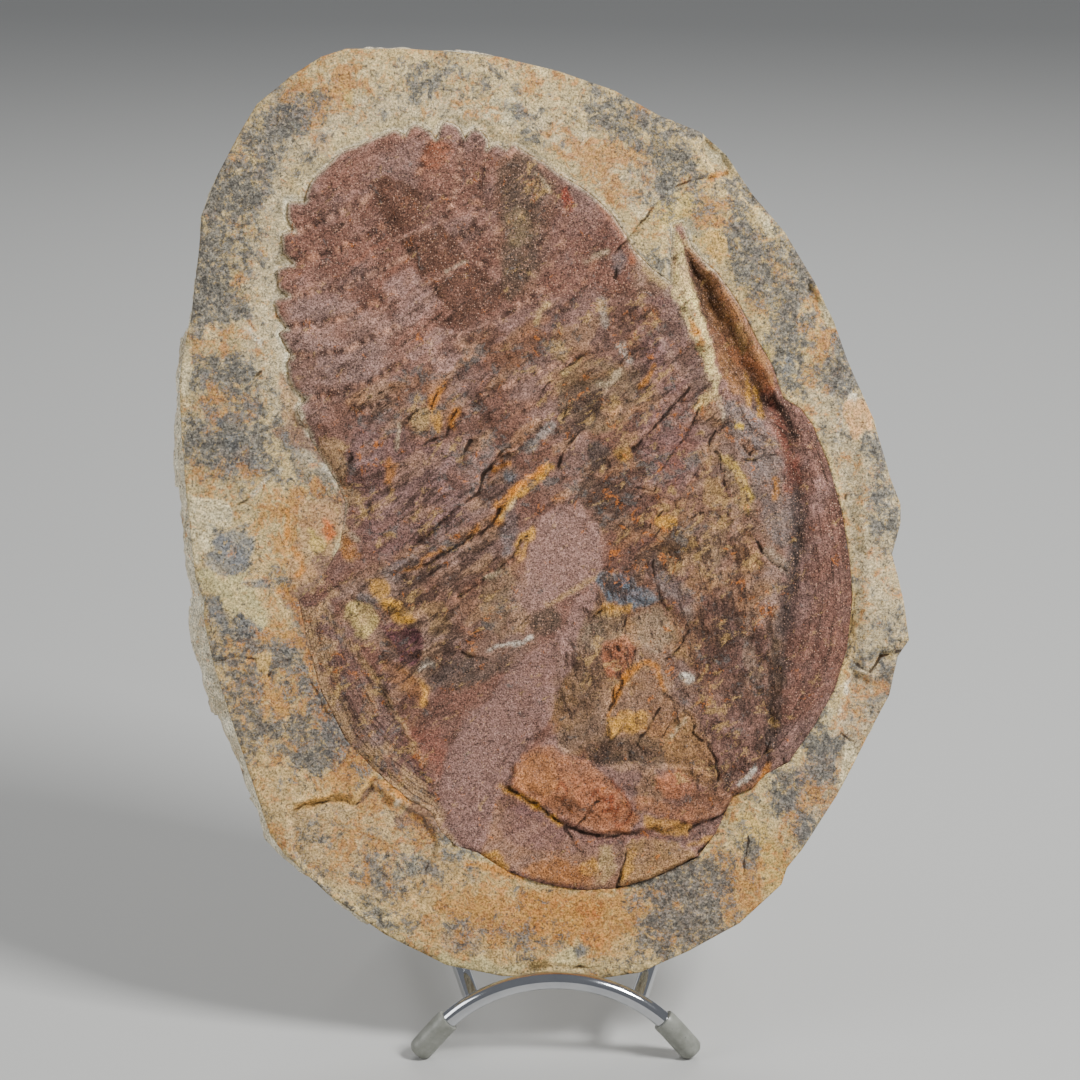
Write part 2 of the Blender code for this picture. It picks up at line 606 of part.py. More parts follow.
def add_foot(name, path, material, collection):
    """A vinyl cap on the rod's end: a rounded sleeve, bored for the rod and worn flat below."""
    tip = trimmed(path, CAP_LENGTH * MM)
    rounded = tip[:-1] + [tip[-1] + (tip[-2] - tip[-1]).normalized() * d * MM
                          for d in CAP_TIP_REACH]
    cap = add_tube(name, rounded, CAP_RADIUS * MM, material, collection, CAP_TIP_SHARES)
    bore_end = shortened(tip, CAP_BORE_FLOOR * MM)
    mouth = tip[0] + (tip[0] - tip[1]).normalized() * CAP_MOUTH_REACH * MM
    bore = add_cutter(name + "_bore", tube_mesh([mouth] + bore_end, (ROD_RADIUS + GAP) * MM))
    bpy.ops.mesh.primitive_cube_add(size=FLOOR_BOX * MM, location=tip[-1])
    floor_box = bpy.context.active_object
    floor_box.location.z = -FLOOR_BOX * MM / 2
    floor_box.hide_render = True
    floor_box.display_type = "WIRE"
    for cutter in (bore, floor_box):
        cut = cap.modifiers.new("cut", "BOOLEAN")
        cut.operation = "DIFFERENCE"
        cut.object = cutter
        cut.solver = "EXACT"
    return cap


def build_stand(collection):
    chrome = make_material("chrome", CHROME_COLOUR, 0.12, 1.0)
    vinyl = make_material("vinyl", VINYL_COLOUR, 0.35)
    for name, half in (("front", half_front_arch), ("rear", half_rear_arch)):
        left, right = half(-1), half(1)
        rod_left = shortened(left, ROD_SHORT * MM)
        rod_right = shortened(right, ROD_SHORT * MM)
        add_tube(name + "_arch", rod_left[::-1] + rod_right[1:], ROD_RADIUS * MM, chrome,
                 collection)
        add_foot(name + "_left_cap", left, vinyl, collection)
        add_foot(name + "_right_cap", right, vinyl, collection)
    rear_y = rear_apex_y() + (REAR_REACH - rear_apex_y()) * (1 - RAIL_Z / REAR_APEX_Z)
    leg_half = REAR_FOOT_HALF - RAIL_INSET
    for name, side in (("left_rail", -1), ("right_rail", 1)):
        ends = [stand_point(side * RAIL_FRONT_HALF, RAIL_FRONT_CLEAR, RAIL_Z),
                stand_point(side * leg_half, rear_y - RAIL_REAR_CLEAR, RAIL_Z)]
        add_tube(name, ends, ROD_RADIUS * MM, chrome, collection)


def main():
    for old in list(bpy.data.objects):
        bpy.data.objects.remove(old)
    collection = bpy.data.collections.new("fossil_trilobite")
    bpy.context.scene.collection.children.link(collection)
    build_slab(collection)
    build_fossil(collection)
    build_stand(collection)


main()
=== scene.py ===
import math

import bmesh
import bpy
import numpy as np
from mathutils import Matrix, Vector


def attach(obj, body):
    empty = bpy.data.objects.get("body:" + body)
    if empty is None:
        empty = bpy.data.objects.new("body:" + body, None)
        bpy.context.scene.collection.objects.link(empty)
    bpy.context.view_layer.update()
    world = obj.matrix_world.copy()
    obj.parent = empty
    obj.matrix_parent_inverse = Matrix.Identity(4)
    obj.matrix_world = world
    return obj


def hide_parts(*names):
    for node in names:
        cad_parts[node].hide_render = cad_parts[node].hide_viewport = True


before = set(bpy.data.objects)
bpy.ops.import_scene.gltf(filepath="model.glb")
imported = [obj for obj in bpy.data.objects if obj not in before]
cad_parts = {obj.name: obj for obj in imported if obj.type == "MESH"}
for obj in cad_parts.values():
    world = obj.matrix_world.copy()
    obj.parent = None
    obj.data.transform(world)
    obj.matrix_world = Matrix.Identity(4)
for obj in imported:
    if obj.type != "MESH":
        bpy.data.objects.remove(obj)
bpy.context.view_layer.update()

mm = 0.001

# The stone is drawn on the slab's face in millimetres: u to the right, v up along the face and
# w out of it, from the middle of the face. faceToWorld leans it back on its stand.
leaning = {"leanDeg": 18.0, "faceCentre": (0.36, -16.52, 179.0)}
faceToWorld = (Matrix.Translation([c * mm for c in leaning["faceCentre"]])
               @ Matrix.Rotation(math.radians(90 - leaning["leanDeg"]), 4, "X"))

# camera square to the slab's face: distance and frame in metres, sensor in mm
cameraView = {"distance": 1.5, "frameWidth": 0.3888, "sensor": 36.0}


def placed(name, data):
    # a new object in the scene
    piece = bpy.data.objects.new(name, data)
    bpy.context.scene.collection.objects.link(piece)
    return piece


def makeCamera():
    data = bpy.data.cameras.new("camera")
    data.sensor_width = cameraView["sensor"]
    data.lens = cameraView["sensor"] * cameraView["distance"] / cameraView["frameWidth"]
    camera = placed("camera", data)
    camera.matrix_world = faceToWorld @ Matrix.Translation((0, 0, cameraView["distance"]))
    bpy.context.scene.camera = camera


# Marks are placed in steps across and down the camera's frame, from its top left corner
frameSteps = 1080
mmPerStep = cameraView["frameWidth"] / mm / frameSteps


def placesOf(text):
    # "a,b a,b ..." as pairs of numbers
    return [tuple(float(n) for n in place.split(",")) for place in text.split()]


def onFace(marks):
    # places in the frame's steps as millimetres over the face
    return [((across - frameSteps / 2) * mmPerStep, (frameSteps / 2 - down) * mmPerStep)
            for across, down in placesOf(marks)]


# Fields over the face: each takes points in mm and gives a value for every point

def smooth(t):
    t = np.clip(t, 0, 1)
    return t * t * (3 - 2 * t)


def turned(p, degrees):
    a = math.radians(degrees)
    u, v = p[:, 0], p[:, 1]
    return np.stack([u * math.cos(a) + v * math.sin(a), v * math.cos(a) - u * math.sin(a)], axis=1)


def noise(p, size, seed, turn=0, stretch=1):
    # smooth random values from -1 to 1, in bumps about size mm across
    wrap, offset = 128, 37.3
    table = np.random.default_rng(seed).uniform(-1, 1, (wrap, wrap))
    q = turned(p, turn) / (size * stretch, size) + offset
    cell = np.floor(q).astype(int)
    f = smooth(q - cell)
    i, j = cell[:, 0] % wrap, cell[:, 1] % wrap
    i2, j2 = (i + 1) % wrap, (j + 1) % wrap
    low = table[j, i] * (1 - f[:, 0]) + table[j, i2] * f[:, 0]
    high = table[j2, i] * (1 - f[:, 0]) + table[j2, i2] * f[:, 0]
    return low * (1 - f[:, 1]) + high * f[:, 1]


def rough(p, size, seed, octaves=4, turn=0, stretch=1, gain=0.55):
    total = np.zeros(len(p))
    weight = 1.0
    for k in range(octaves):
        total += weight * noise(p, size / 2 ** k, seed + k, turn, stretch)
        weight *= gain
    return total


def flakes(p, size, seed, turn=0, stretch=1):
    # broken cells: a random value for each, and the distance to its edge in cells
    wrap, offset, far = 96, 41.7, 9.0
    q = turned(p, turn) / (size * stretch, size) + offset
    base = np.floor(q).astype(int)
    chance = np.random.default_rng(seed)
    jitter = chance.uniform(0.12, 0.88, (wrap, wrap, 2))
    value = chance.uniform(-1, 1, (wrap, wrap))
    near = np.full(len(p), far)
    second = np.full(len(p), far)
    kept = np.zeros(len(p))
    for di in (-1, 0, 1):
        for dj in (-1, 0, 1):
            i, j = (base[:, 0] + di) % wrap, (base[:, 1] + dj) % wrap
            away = base + (di, dj) + jitter[j, i] - q
            d = np.hypot(away[:, 0], away[:, 1])
            closer = d < near
            second = np.where(closer, near, np.minimum(second, d))
            kept = np.where(closer, value[j, i], kept)
            near = np.where(closer, d, near)
    return kept, second - near


def lineField(p, line, reach, closed=False):
    # distance to a line and the way along it; beyond reach the distance is left at reach
    knots = np.array(line + line[:1] if closed else line, float)
    dist = np.full(len(p), float(reach))
    along = np.zeros(len(p))
    near = np.all((p > knots.min(axis=0) - reach) & (p < knots.max(axis=0) + reach), axis=1)
    q = p[near]
    best, arc = dist[near], along[near]
    run = 0.0
    for a, b in zip(knots, knots[1:]):
        way = b - a
        length = max(math.hypot(*way), 1e-6)
        t = np.clip((q - a) @ way / length ** 2, 0, 1)
        d = np.hypot(*(q - a - t[:, None] * way).T)
        closer = d < best
        best = np.where(closer, d, best)
        arc = np.where(closer, run + t * length, arc)
        run += length
    dist[near], along[near] = best, arc
    return dist, along


def insideOf(p, outline):
    hit = np.zeros(len(p), bool)
    for (ax, ay), (bx, by) in zip(outline, outline[1:] + outline[:1]):
        if ay != by:
            crosses = (ay > p[:, 1]) != (by > p[:, 1])
            hit ^= crosses & (p[:, 0] < (bx - ax) * (p[:, 1] - ay) / (by - ay) + ax)
    return hit


def depthIn(p, outline, reach=30.0):
    # how deep inside an outline, in mm, negative outside
    dist, _ = lineField(p, outline, reach, closed=True)
    return np.where(insideOf(p, outline), dist, -dist)


def patch(p, outline, soft=2.0):
    # 1 inside an outline and 0 outside, with a soft edge in mm
    corners = np.array(outline)
    near = np.all((p > corners.min(axis=0) - soft) & (p < corners.max(axis=0) + soft), axis=1)
    mask = np.zeros(len(p))
    mask[near] = smooth(depthIn(p[near], outline, soft + 1) / soft + 0.5)
    return mask


def groove(p, line, width):
    dist, _ = lineField(p, line, width * 3)
    return np.where(dist < width * 3, np.exp(-(dist / width) ** 2), 0)


class Lattice:
    # an even spread of points over an outline, on which heights and colours are worked out
    def __init__(self, outline, step, margin=3.0):
        corners = np.array(outline)
        self.low = corners.min(axis=0) - margin
        self.step = step
        self.count = np.ceil((corners.max(axis=0) + margin - self.low) / step).astype(int) + 1
        us = self.low[0] + np.arange(self.count[0]) * step
        vs = self.low[1] + np.arange(self.count[1]) * step
        self.points = np.stack(np.meshgrid(us, vs), axis=-1).reshape(-1, 2)

    def blurred(self, values, size):
        # running mean over a square of about size mm, twice
        grid = values.reshape(self.count[1], self.count[0])
        half = max(1, round(size / self.step / 2))
        for _ in range(2):
            for axis in (0, 1):
                padded = np.pad(grid, [(half + 1, half) if a == axis else (0, 0) for a in (0, 1)],
                                mode="edge")
                total = np.cumsum(padded, axis=axis)
                ahead = np.take(total, range(2 * half + 1, total.shape[axis]), axis=axis)
                behind = np.take(total, range(0, total.shape[axis] - 2 * half - 1), axis=axis)
                grid = (ahead - behind) / (2 * half + 1)
        return grid.ravel()

    def sampled(self, values, p):
        q = (p - self.low) / self.step
        cell = np.clip(np.floor(q).astype(int), 0, self.count - 2)
        f = np.clip(q - cell, 0, 1)
        grid = values.reshape(self.count[1], self.count[0], -1)
        i, j = cell[:, 0], cell[:, 1]
        fu, fv = f[:, :1], f[:, 1:]
        low = grid[j, i] * (1 - fu) + grid[j, i + 1] * fu
        high = grid[j + 1, i] * (1 - fu) + grid[j + 1, i + 1] * fu
        return low * (1 - fv) + high * fv


def vertPlaces(bm):
    return np.array([v.co[:2] for v in bm.verts])


def drawnOnto(p, outline):
    # the nearest point of the outline to each point
    knots = np.array(outline + outline[:1], float)
    best = np.full(len(p), 1e9)
    place = p.copy()
    for a, b in zip(knots, knots[1:]):
        way = b - a
        t = np.clip((p - a) @ way / max(way @ way, 1e-9), 0, 1)
        on = a + t[:, None] * way
        d = np.hypot(*(p - on).T)
        closer = d < best
        best = np.where(closer, d, best)
        place[closer] = on[closer]
    return place


def cutGrid(bm, outline, step, hole=None):
    # a flat grid cut to the outline, less the hole, with its ragged edge drawn onto them
    corners = np.array(outline)
    low, high = corners.min(axis=0), corners.max(axis=0)
    size = high - low
    count = np.ceil(size / step).astype(int)
    made = bmesh.ops.create_grid(bm, x_segments=int(count[0]), y_segments=int(count[1]), size=0.5)
    middle = (low + high) / 2
    bmesh.ops.scale(bm, verts=made["verts"], vec=(size[0], size[1], 1))
    bmesh.ops.translate(bm, verts=made["verts"], vec=(middle[0], middle[1], 0))
    new = set(made["verts"])
    faces = [f for f in bm.faces if f.verts[0] in new]
    centres = np.array([f.calc_center_median()[:2] for f in faces])
    keep = insideOf(centres, outline)
    if hole:
        keep &= ~insideOf(centres, hole)
    bmesh.ops.delete(bm, geom=[f for f, k in zip(faces, keep) if not k], context="FACES")
    grid = [v for v in made["verts"] if v.is_valid]
    edge = [v for v in grid if v.is_boundary]
    places = np.array([v.co[:2] for v in edge])
    target = drawnOnto(places, outline)
    if hole:
        other = drawnOnto(places, hole)
        nearHole = np.hypot(*(places - other).T) < np.hypot(*(places - target).T)
        target[nearHole] = other[nearHole]
    for v, place in zip(edge, target):
        v.co.xy = place
    if not hole:
        return grid, edge, []
    atHole = [v for v, near in zip(edge, nearHole) if near]
    return grid, [v for v, near in zip(edge, nearHole) if not near], atHole


def edgesAmong(verts):
    # the boundary edges that run between these vertices
    held = set(verts)
    return list(dict.fromkeys(e for v in verts for e in v.link_edges
                              if e.is_boundary and e.verts[0] in held and e.verts[1] in held))


def extrudedRing(bm, verts, ring, number):
    # a new ring of vertices under a boundary loop, left at the same place
    made = bmesh.ops.extrude_edge_only(bm, edges=edgesAmong(verts))
    new = [g for g in made["geom"] if isinstance(g, bmesh.types.BMVert)]
    for v in new:
        v[ring] = number
    return new


def stoneMesh(name, bm, places, stains, paths=None):
    # places are face coordinates in mm, stains named arrays of four values per vertex and paths
    # named arrays of three
    for v, place in zip(bm.verts, places):
        v.co = place * mm
    bmesh.ops.transform(bm, matrix=faceToWorld, verts=bm.verts)
    bmesh.ops.recalc_face_normals(bm, faces=bm.faces)
    mesh = bpy.data.meshes.new(name)
    bm.to_mesh(mesh)
    bm.free()
    for stain, values in stains.items():
        layer = mesh.color_attributes.new(stain, "FLOAT_COLOR", "POINT")
        layer.data.foreach_set("color", np.clip(values, 0, 1).astype(np.float32).ravel())
    for path, values in (paths or {}).items():
        layer = mesh.attributes.new(path, "FLOAT_VECTOR", "POINT")
        layer.data.foreach_set("vector", values.astype(np.float32).ravel())
    mesh.shade_smooth()
    return placed(name, mesh)


def screen(code):
    # a screen colour such as "a08060" as three numbers from 0 to 1
    return np.array([int(code[i:i + 2], 16) / 255 for i in (0, 2, 4)])


def linear(tone):
    # tones from 0 to 1 as linear light
    tone = np.clip(tone, 0, 1)
    return np.where(tone < 0.04045, tone / 12.92, ((tone + 0.055) / 1.055) ** 2.4)


def colour(code):
    # a screen colour as linear light, for a shader's socket
    return (*linear(screen(code)).tolist(), 1.0)


class Paint:
    # short ways to add shader nodes to one material
    def __init__(self, name):
        self.material = bpy.data.materials.new(name)
        self.material.use_nodes = True
        self.tree = self.material.node_tree
        self.shader = self.tree.nodes["Principled BSDF"]
        place = self.tree.nodes.new("ShaderNodeTexCoord").outputs["Object"]
        self.place = self.mapped(place, turn=(-math.radians(90 - leaning["leanDeg"]), 0, 0))

    def link(self, source, socket):
        if isinstance(source, (int, float, tuple)):
            socket.default_value = source
        else:
            self.tree.links.new(source, socket)

    def node(self, kind, sockets, **settings):
        # a new node with its settings, then its sockets set or linked; gives its outputs
        node = self.tree.nodes.new("ShaderNode" + kind)
        for name, value in settings.items():
            setattr(node, name, value)
        for socket, value in sockets.items():
            self.link(value, node.inputs[socket])
        return node.outputs

    def mapped(self, vector, turn=(0, 0, 0), scale=(1, 1, 1), shift=(0, 0, 0)):
        return self.node("Mapping", {"Vector": vector, "Location": shift, "Rotation": turn,
                                     "Scale": scale})[0]

    def combed(self, degrees, scale):
        # places turned first and then drawn out, for streaks that run at an angle
        return self.mapped(self.mapped(self.place, turn=(0, 0, math.radians(degrees))), scale=scale)

    def noise(self, size, detail=4.0, roughness=0.55, distortion=0.0, vector=None):
        # size is the width of the bumps in mm
        return self.node("TexNoise", {"Vector": vector or self.place, "Scale": 1 / (size * mm),
                                      "Detail": detail, "Roughness": roughness,
                                      "Distortion": distortion})["Fac"]

    def cells(self, size):
        # distance to the middle of each cell, and three random values for it
        made = self.node("TexVoronoi", {"Vector": self.place, "Scale": 1 / (size * mm)})
        return made["Distance"], self.parts(made["Color"])

    def span(self, value, low, high, outLow=0.0, outHigh=1.0):
        # the value from low to high carried over to outLow to outHigh
        return self.node("MapRange", {"Value": value, "From Min": low, "From Max": high,
                                      "To Min": outLow, "To Max": outHigh})[0]

    def calc(self, kind, a, b=0.0, c=0.0):
        return self.node("Math", {0: a, 1: b, 2: c}, operation=kind)[0]

    def mix(self, share, a, b, blend="MIX"):
        # two colours
        return self.node("Mix", {"Factor": share, 6: a, 7: b}, data_type="RGBA", blend_type=blend,
                         clamp_factor=True, clamp_result=False)[2]

    def blend(self, share, a, b):
        # two plain values
        return self.node("Mix", {"Factor": share, 2: a, 3: b})[0]

    def attribute(self, name):
        return self.node("Attribute", {}, attribute_name=name)

    def masks(self, name):
        # the four masks of a colour attribute
        made = self.attribute(name)
        return [*self.parts(made["Color"]), made["Alpha"]]

    def parts(self, tone):
        return self.node("SeparateColor", {0: tone})

    def grey(self, value):
        return self.node("CombineColor", {0: value, 1: value, 2: value})[0]

    def shaded(self, skin, field, low, high, dim, bright):
        # the skin dimmed where a field is low and brightened where it is high
        return self.mix(1.0, skin, self.grey(self.span(field, low, high, dim, bright)), "MULTIPLY")

    def veined(self, skin, share, field, low, high, strength, tone):
        # a tone over the high parts of a field, more of them where its share is larger
        reach = self.calc("MULTIPLY_ADD", share, 0.30, field)
        return self.mix(self.span(reach, low, high, 0, strength), skin, tone)

    def crackedAndShadowed(self, skin, crackAndShadow, breakUp, low, high, strength, tone):
        # a dark tone inside the cracks, with edges frayed by a noise: the cracks' own dark and
        # painted shadow under the plate edges and ledges beside them
        frayed = self.calc("MULTIPLY", self.calc("SUBTRACT", breakUp, 0.5), 0.34)
        edge = self.calc("ADD", crackAndShadow, frayed)
        return self.mix(self.span(edge, low, high, 0, strength), skin, tone)

    def bump(self, height, strength, distance, before=None):
        under = {"Normal": before} if before else {}
        return self.node("Bump", {"Strength": strength, "Distance": distance * mm,
                                  "Height": height, **under})[0]

    def finish(self, baseColour, roughness, normal, others=None):
        sockets = {"Base Color": baseColour, "Roughness": roughness, "Normal": normal}
        for name, value in {**sockets, **(others or {})}.items():
            self.link(value, self.shader.inputs[name])
        return self.material


# stone has hardly any sheen
dullSheen = {"Specular IOR Level": 0.15}


# Outlines and lines on the face, in mm

slabOutline = placesOf(
    "-70,177 -50,177 -31,176 -14,174 7,169 27,162 43,153 58,147 67,139 78,123 88,111 99,93 "
    "106,79 112,62 120,44 126,23 130,13 130,6 127,-5 131,-22 133,-36 129,-42 126,-56 118,-71 "
    "107,-92 94,-112 89,-118 87,-124 72,-138 54,-148 36,-156 22,-158 7,-158 -14,-157 -34,-153 "
    "-56,-142 -77,-127 -92,-113 -97,-106 -102,-92 -107,-77 -112,-62 -117,-46 -119,-38 -121,-29 "
    "-121,-22 -124,-14 -127,14 -129,36 -130,58 -126,79 -123,104 -122,117 -116,132 -108,147 "
    "-102,157 -90,167 -79,174")

fossilOutline = placesOf(
    "-90.5,121.5 -84.5,121.5 -84,124.5 -82.5,128.5 -80.5,131 -75,136 -72.5,139 -70,140.5 -65,142 "
    "-59,145 -52,147.5 -48.5,145.5 -47,148.5 -44.5,149.5 -42.5,148.5 -39.5,147 -37.5,144 "
    "-36.5,147 -35.5,149.5 -34,150.5 -31.5,150 -29,148.5 -27,144.5 -25.5,147 -23.5,148 -21,147 "
    "-18.5,143.5 -19,140.5 -17.5,142 -15,142.5 -12,140.5 -9.5,142.5 -7.5,141 -3.5,138.5 2,135.5 "
    "7,131.5 14.5,127 17.5,125 21.5,121.5 26,117 29,112.5 31.5,108.5 34,104 39.5,98.5 44,95 "
    "47,93 47,100 48,113.5 51,114.5 54.5,106 59,100.5 63.5,96.5 68.5,89.5 72.5,83 78,72 83.5,63 "
    "87.5,51 93.5,47.5 98,41.5 103.5,28 108.5,11 111.5,-7 112.5,-21.5 110.5,-39.5 106,-54 "
    "99,-66.5 89.5,-80 81,-84.5 76.5,-89.5 69.5,-92 63,-106 56.5,-114.5 43,-121 27.5,-125.5 "
    "14.5,-126 0,-123.5 -12.5,-119 -22.5,-112.5 -30.5,-110 -36,-104.5 -39,-98 -47,-93.5 "
    "-59.5,-83 -70,-72 -79,-54 -83.5,-38 -87,-21.5 -80,-16 -72,-2 -70,13 -73.5,21.5 -76.5,26.5 "
    "-80,31.5 -83,37.5 -86.5,44 -87.5,47.5 -84,50.5 -88.5,54.5 -90,57.5 -91,64 -89.5,66.5 -92,71 "
    "-94,74.5 -91,76 -94.5,81 -95.5,86.5 -90,87.5 -94,90.5 -94.5,97.5 -88.5,99.5 -92.5,103.5 "
    "-93,110 -88.5,111.5 -91,116")

# Joints between the ribs and furrows across the body: depth, half width, line
furrows = [(depth, width, placesOf(line)) for depth, width, line in (
    (0.3, 2, "-87,111 -76,116 -64,122 -56,128"),
    (0.3, 2, "-86,100 -72,105 -56,113 -46,123 -40,143"),
    (0.35, 2, "-88,88 -70,91 -50,101 -38,108 -31,122 -28,144"),
    (0.35, 2, "-90,77 -70,80 -50,91 -36,102 -24,112 -19,139"),
    (0.35, 2, "-89,66 -70,68 -50,78 -36,90 -20,100 -13,115 -10,140"),
    (0.35, 2.2, "-82,51 -62,56 -46,66 -34,78 -16,89 -6,102 0,134"),
    (0.4, 2.2, "-66,45 -48,54 -34,66 -16,78 0,90 8,106 10,128"),
    (0.5, 2.6, "-40,50 -30,59 -18,68 -2,76 14,88 22,106 24,116"),
    (0.6, 2.6, "-34,40 -20,52 0,61 18,68 34,82 40,94"),
    (1.125, 2.6, "-28,27 -22,40 -4,48 20,58 40,70 50,80"),
    (1.2, 2.6, "-22,16 -14,30 4,38 24,46 44,58 58,68"),
    (0.9, 2.6, "-44,-1 -33,8 -22,18 -14,28"),
    (0.9, 2.6, "-50,-14 -36,-6 -22,2 -14,9"),
    (0.75, 2.6, "-30,-21 -18,-12 -8,-6"),
    (0.975, 2.6, "24,26 38,36 46,46 56,54"),
    (0.9, 2.6, "36,4 46,13 54,21 62,28"),
    (0.825, 2.6, "44,-12 56,-2 66,8 78,14"))]

# Layers that stand proud or lie low: rise, edge width, outline
fossilLayers = {
    "axisLobe": (1.3, 7, "-62,129 -48,128 -34,112 -20,94 -4,74 14,52 20,34 6,26 -14,30 -30,58 "
     "-40,84 -50,106"),
    "smoothBand": (-0.7, 2, "7,13 17,7 23,-3 21,-12 14,-22 9,-34 2,-53 -6,-70 -12,-83 -17,-94 "
     "-20,-106 -26,-113 -36,-106 -39,-93 -36,-80 -32,-70 -18,-54 -9,-43 -4,-36 -9,-28 -5,-14 "
     "-4,2"),
    "headShield": (1.6, 7, "10,-36 28,-28 48,-26 62,-36 72,-56 76,-78 68,-88 48,-98 22,-102 "
     "2,-96 -9,-88 -2,-66 6,-50"),
    "upperPlate": (1.5, 1.2, "-12,-88 -9,-80 -4,-73 4,-71 12,-77 22,-81 44,-79 60,-82 69,-92 "
     "66,-99 56,-102 32,-106 16,-105 6,-100 -2,-96"),
    "rightSubPlate": (1.2, 1.2, "30,-107 42,-107 54,-110 57,-114 50,-118 38,-123 28,-125 "
     "29,-116"),
    "cheek": (2, 8, "90,50 98,41 104,28 109,10 112,-10 112,-26 109,-46 101,-64 90,-80 84,-76 "
     "85,-56 88,-36 94,-14 96,8 93,28"),
    "spineGroove": (-5, 6.5, "48,114 54,104 64,96 70,84 79,68 84,58 88,46 80,42 70,48 64,60 "
     "58,76 52,90"),
    "leftCheek": (1, 5, "-86,-23 -76,-26 -66,-44 -54,-62 -44,-80 -40,-94 -52,-88 -66,-74 -76,-58 "
     "-83,-38"),
    "brokenPatch": (-1.2, 3, "-70,-18 -54,-22 -42,-30 -42,-46 -52,-44 -62,-34")}
stoneLayers = {
    "rightPanel": (1.6, 4.5, "112,40 120,46 128,24 132,8 129,-6 135,-24 135,-38 122,-42 118,-47 "
     "112,-43 114,-20 113,4"),
    "lowerLeftScar": (-1.8, 1.6, "-90,-95 -78,-92 -66,-92 -60,-88 -52,-94 -42,-98 -36,-110 "
     "-44,-128 -58,-138 -76,-126 -90,-112"),
    "cornerChip": (-2.6, 2.5, "58,148 68,140 80,122 77,119 66,130 56,140"),
    "rightChip": (-2.4, 2.5, "97,96 108,80 115,62 109,62 101,76 94,90"),
    "rightLowSurface": (-1.8, 3, "112,-46 120,-50 130,-44 128,-60 120,-72 110,-86 104,-80 "
     "108,-62")}

# the valley inside the right cheek: depth, half width, line
cheekValley = (1.8, 3.2, placesOf("86,46 89,34 93,14 92,-8 88,-24 84,-44 83,-64 80,-80"))
# the ridge of orange stone: rise, half width, line
orangeRidge = (1.4, 1.3, placesOf("-17,10 -14,15 -6,21 3,28"))

# Marks on the face, in the frame's steps. Zones and patches have a tone, a strength, a softness
# and an outline, strokes a tone, a strength, a half width in mm and a line, cracks a depth and a
# width in mm and a line, shares an amount, a softness in mm and an outline.

# where the fossil's skin is shattered, smooth, streaked or plated
grainZones = {
    "shattered": "345,396 402,365 440,346 500,322 560,300 640,300 700,350 716,400 740,450 "
     "754,540 779,590 770,680 765,759 734,770 690,700 654,601 604,590 600,545 570,505 529,521 "
     "515,560 520,601 429,690 415,740 384,690 370,640 396,601 384,559 351,521 335,460",
    "band": "559,504 587,506 604,548 601,573 579,601 565,640 546,687 523,734 507,770 493,801 "
     "484,851 468,854 432,828 440,790 451,734 490,690 523,655 515,618 526,579 529,534",
    "head": "559,640 573,606 610,575 665,545 720,530 765,560 780,620 776,757 734,782 734,800 "
     "500,820 509,773 550,735",
    "plates": "512,782 520,757 552,742 606,775 660,768 715,795 734,808 697,858 617,889 573,888 "
     "498,868 484,850 498,815",
    "cheek": "770,388 790,400 812,425 828,458 847,530 852,600 826,700 786,760 775,750 776,700 "
     "790,600 794,500 786,450",
    "leftCheek": "298,600 330,604 350,640 380,680 410,730 440,780 436,830 425,830 390,790 "
     "350,740 320,690",
    "fibres": "680,230 705,262 728,292 752,330 775,378 790,470 796,540 775,560 745,480 728,392 "
     "706,320 690,268",
    "olive": "498,168 512,155 536,160 556,190 540,215 542,262 520,292 504,292 500,240"}

bodyZones = [
    ("tailLow", 0.8, 12, "285,300 340,300 420,330 470,380 420,440 350,460 310,420 290,370"),
    ("duskTone", 0.9, 9, "500,150 560,168 600,205 640,255 655,310 620,330 560,335 530,310 "
     "508,270 500,210"),
    ("oliveTone", 0.8, 6, "495,160 520,152 548,165 556,195 548,260 530,300 505,300 495,250"),
    ("thoraxTone", 0.9, 10, "470,400 540,335 640,300 700,380 720,470 740,560 700,600 640,590 "
     "600,540 560,500 520,500 480,540 440,560 430,500"),
    ("thoraxLeft", 0.9, 10, "340,430 400,370 480,395 500,450 500,540 480,620 440,660 400,640 "
     "370,600 345,560 335,500"),
    ("thoraxLow", 0.9, 8, "400,570 470,540 530,560 560,610 520,660 470,690 430,690 400,660"),
    ("rightSide", 0.9, 9, "690,400 740,400 775,440 790,520 780,620 770,700 745,700 720,640 "
     "700,580 680,520"),
    ("headOlive", 0.9, 6, "560,640 590,610 660,600 700,650 700,720 680,770 620,770 560,750 "
     "550,700"),
    ("headMid", 0.6, 8, "600,690 640,660 690,690 700,750 660,770 610,745"),
    ("headPlum", 0.9, 6, "690,615 730,600 770,640 776,720 755,785 725,785 705,745 690,720 "
     "672,690 665,640"),
    ("cheekTone", 1, 3, "770,388 790,400 812,425 828,458 840,495 847,530 852,575 849,620 840,660 "
     "826,700 806,735 786,760 775,750 776,700 781,650 790,600 796,550 794,500 786,450"),
    ("leftCheekTone", 0.9, 4, "300,598 330,602 350,640 380,680 410,730 440,780 436,830 425,830 "
     "390,790 350,740 320,690 305,640"),
    ("brokenTone", 0.9, 5, "340,580 380,560 420,580 440,620 430,660 400,660 360,640 340,620"),
    ("plateLow", 0.9, 4, "490,800 540,820 600,840 640,850 700,850 690,865 640,888 590,890 "
     "520,873 480,852 488,820")]

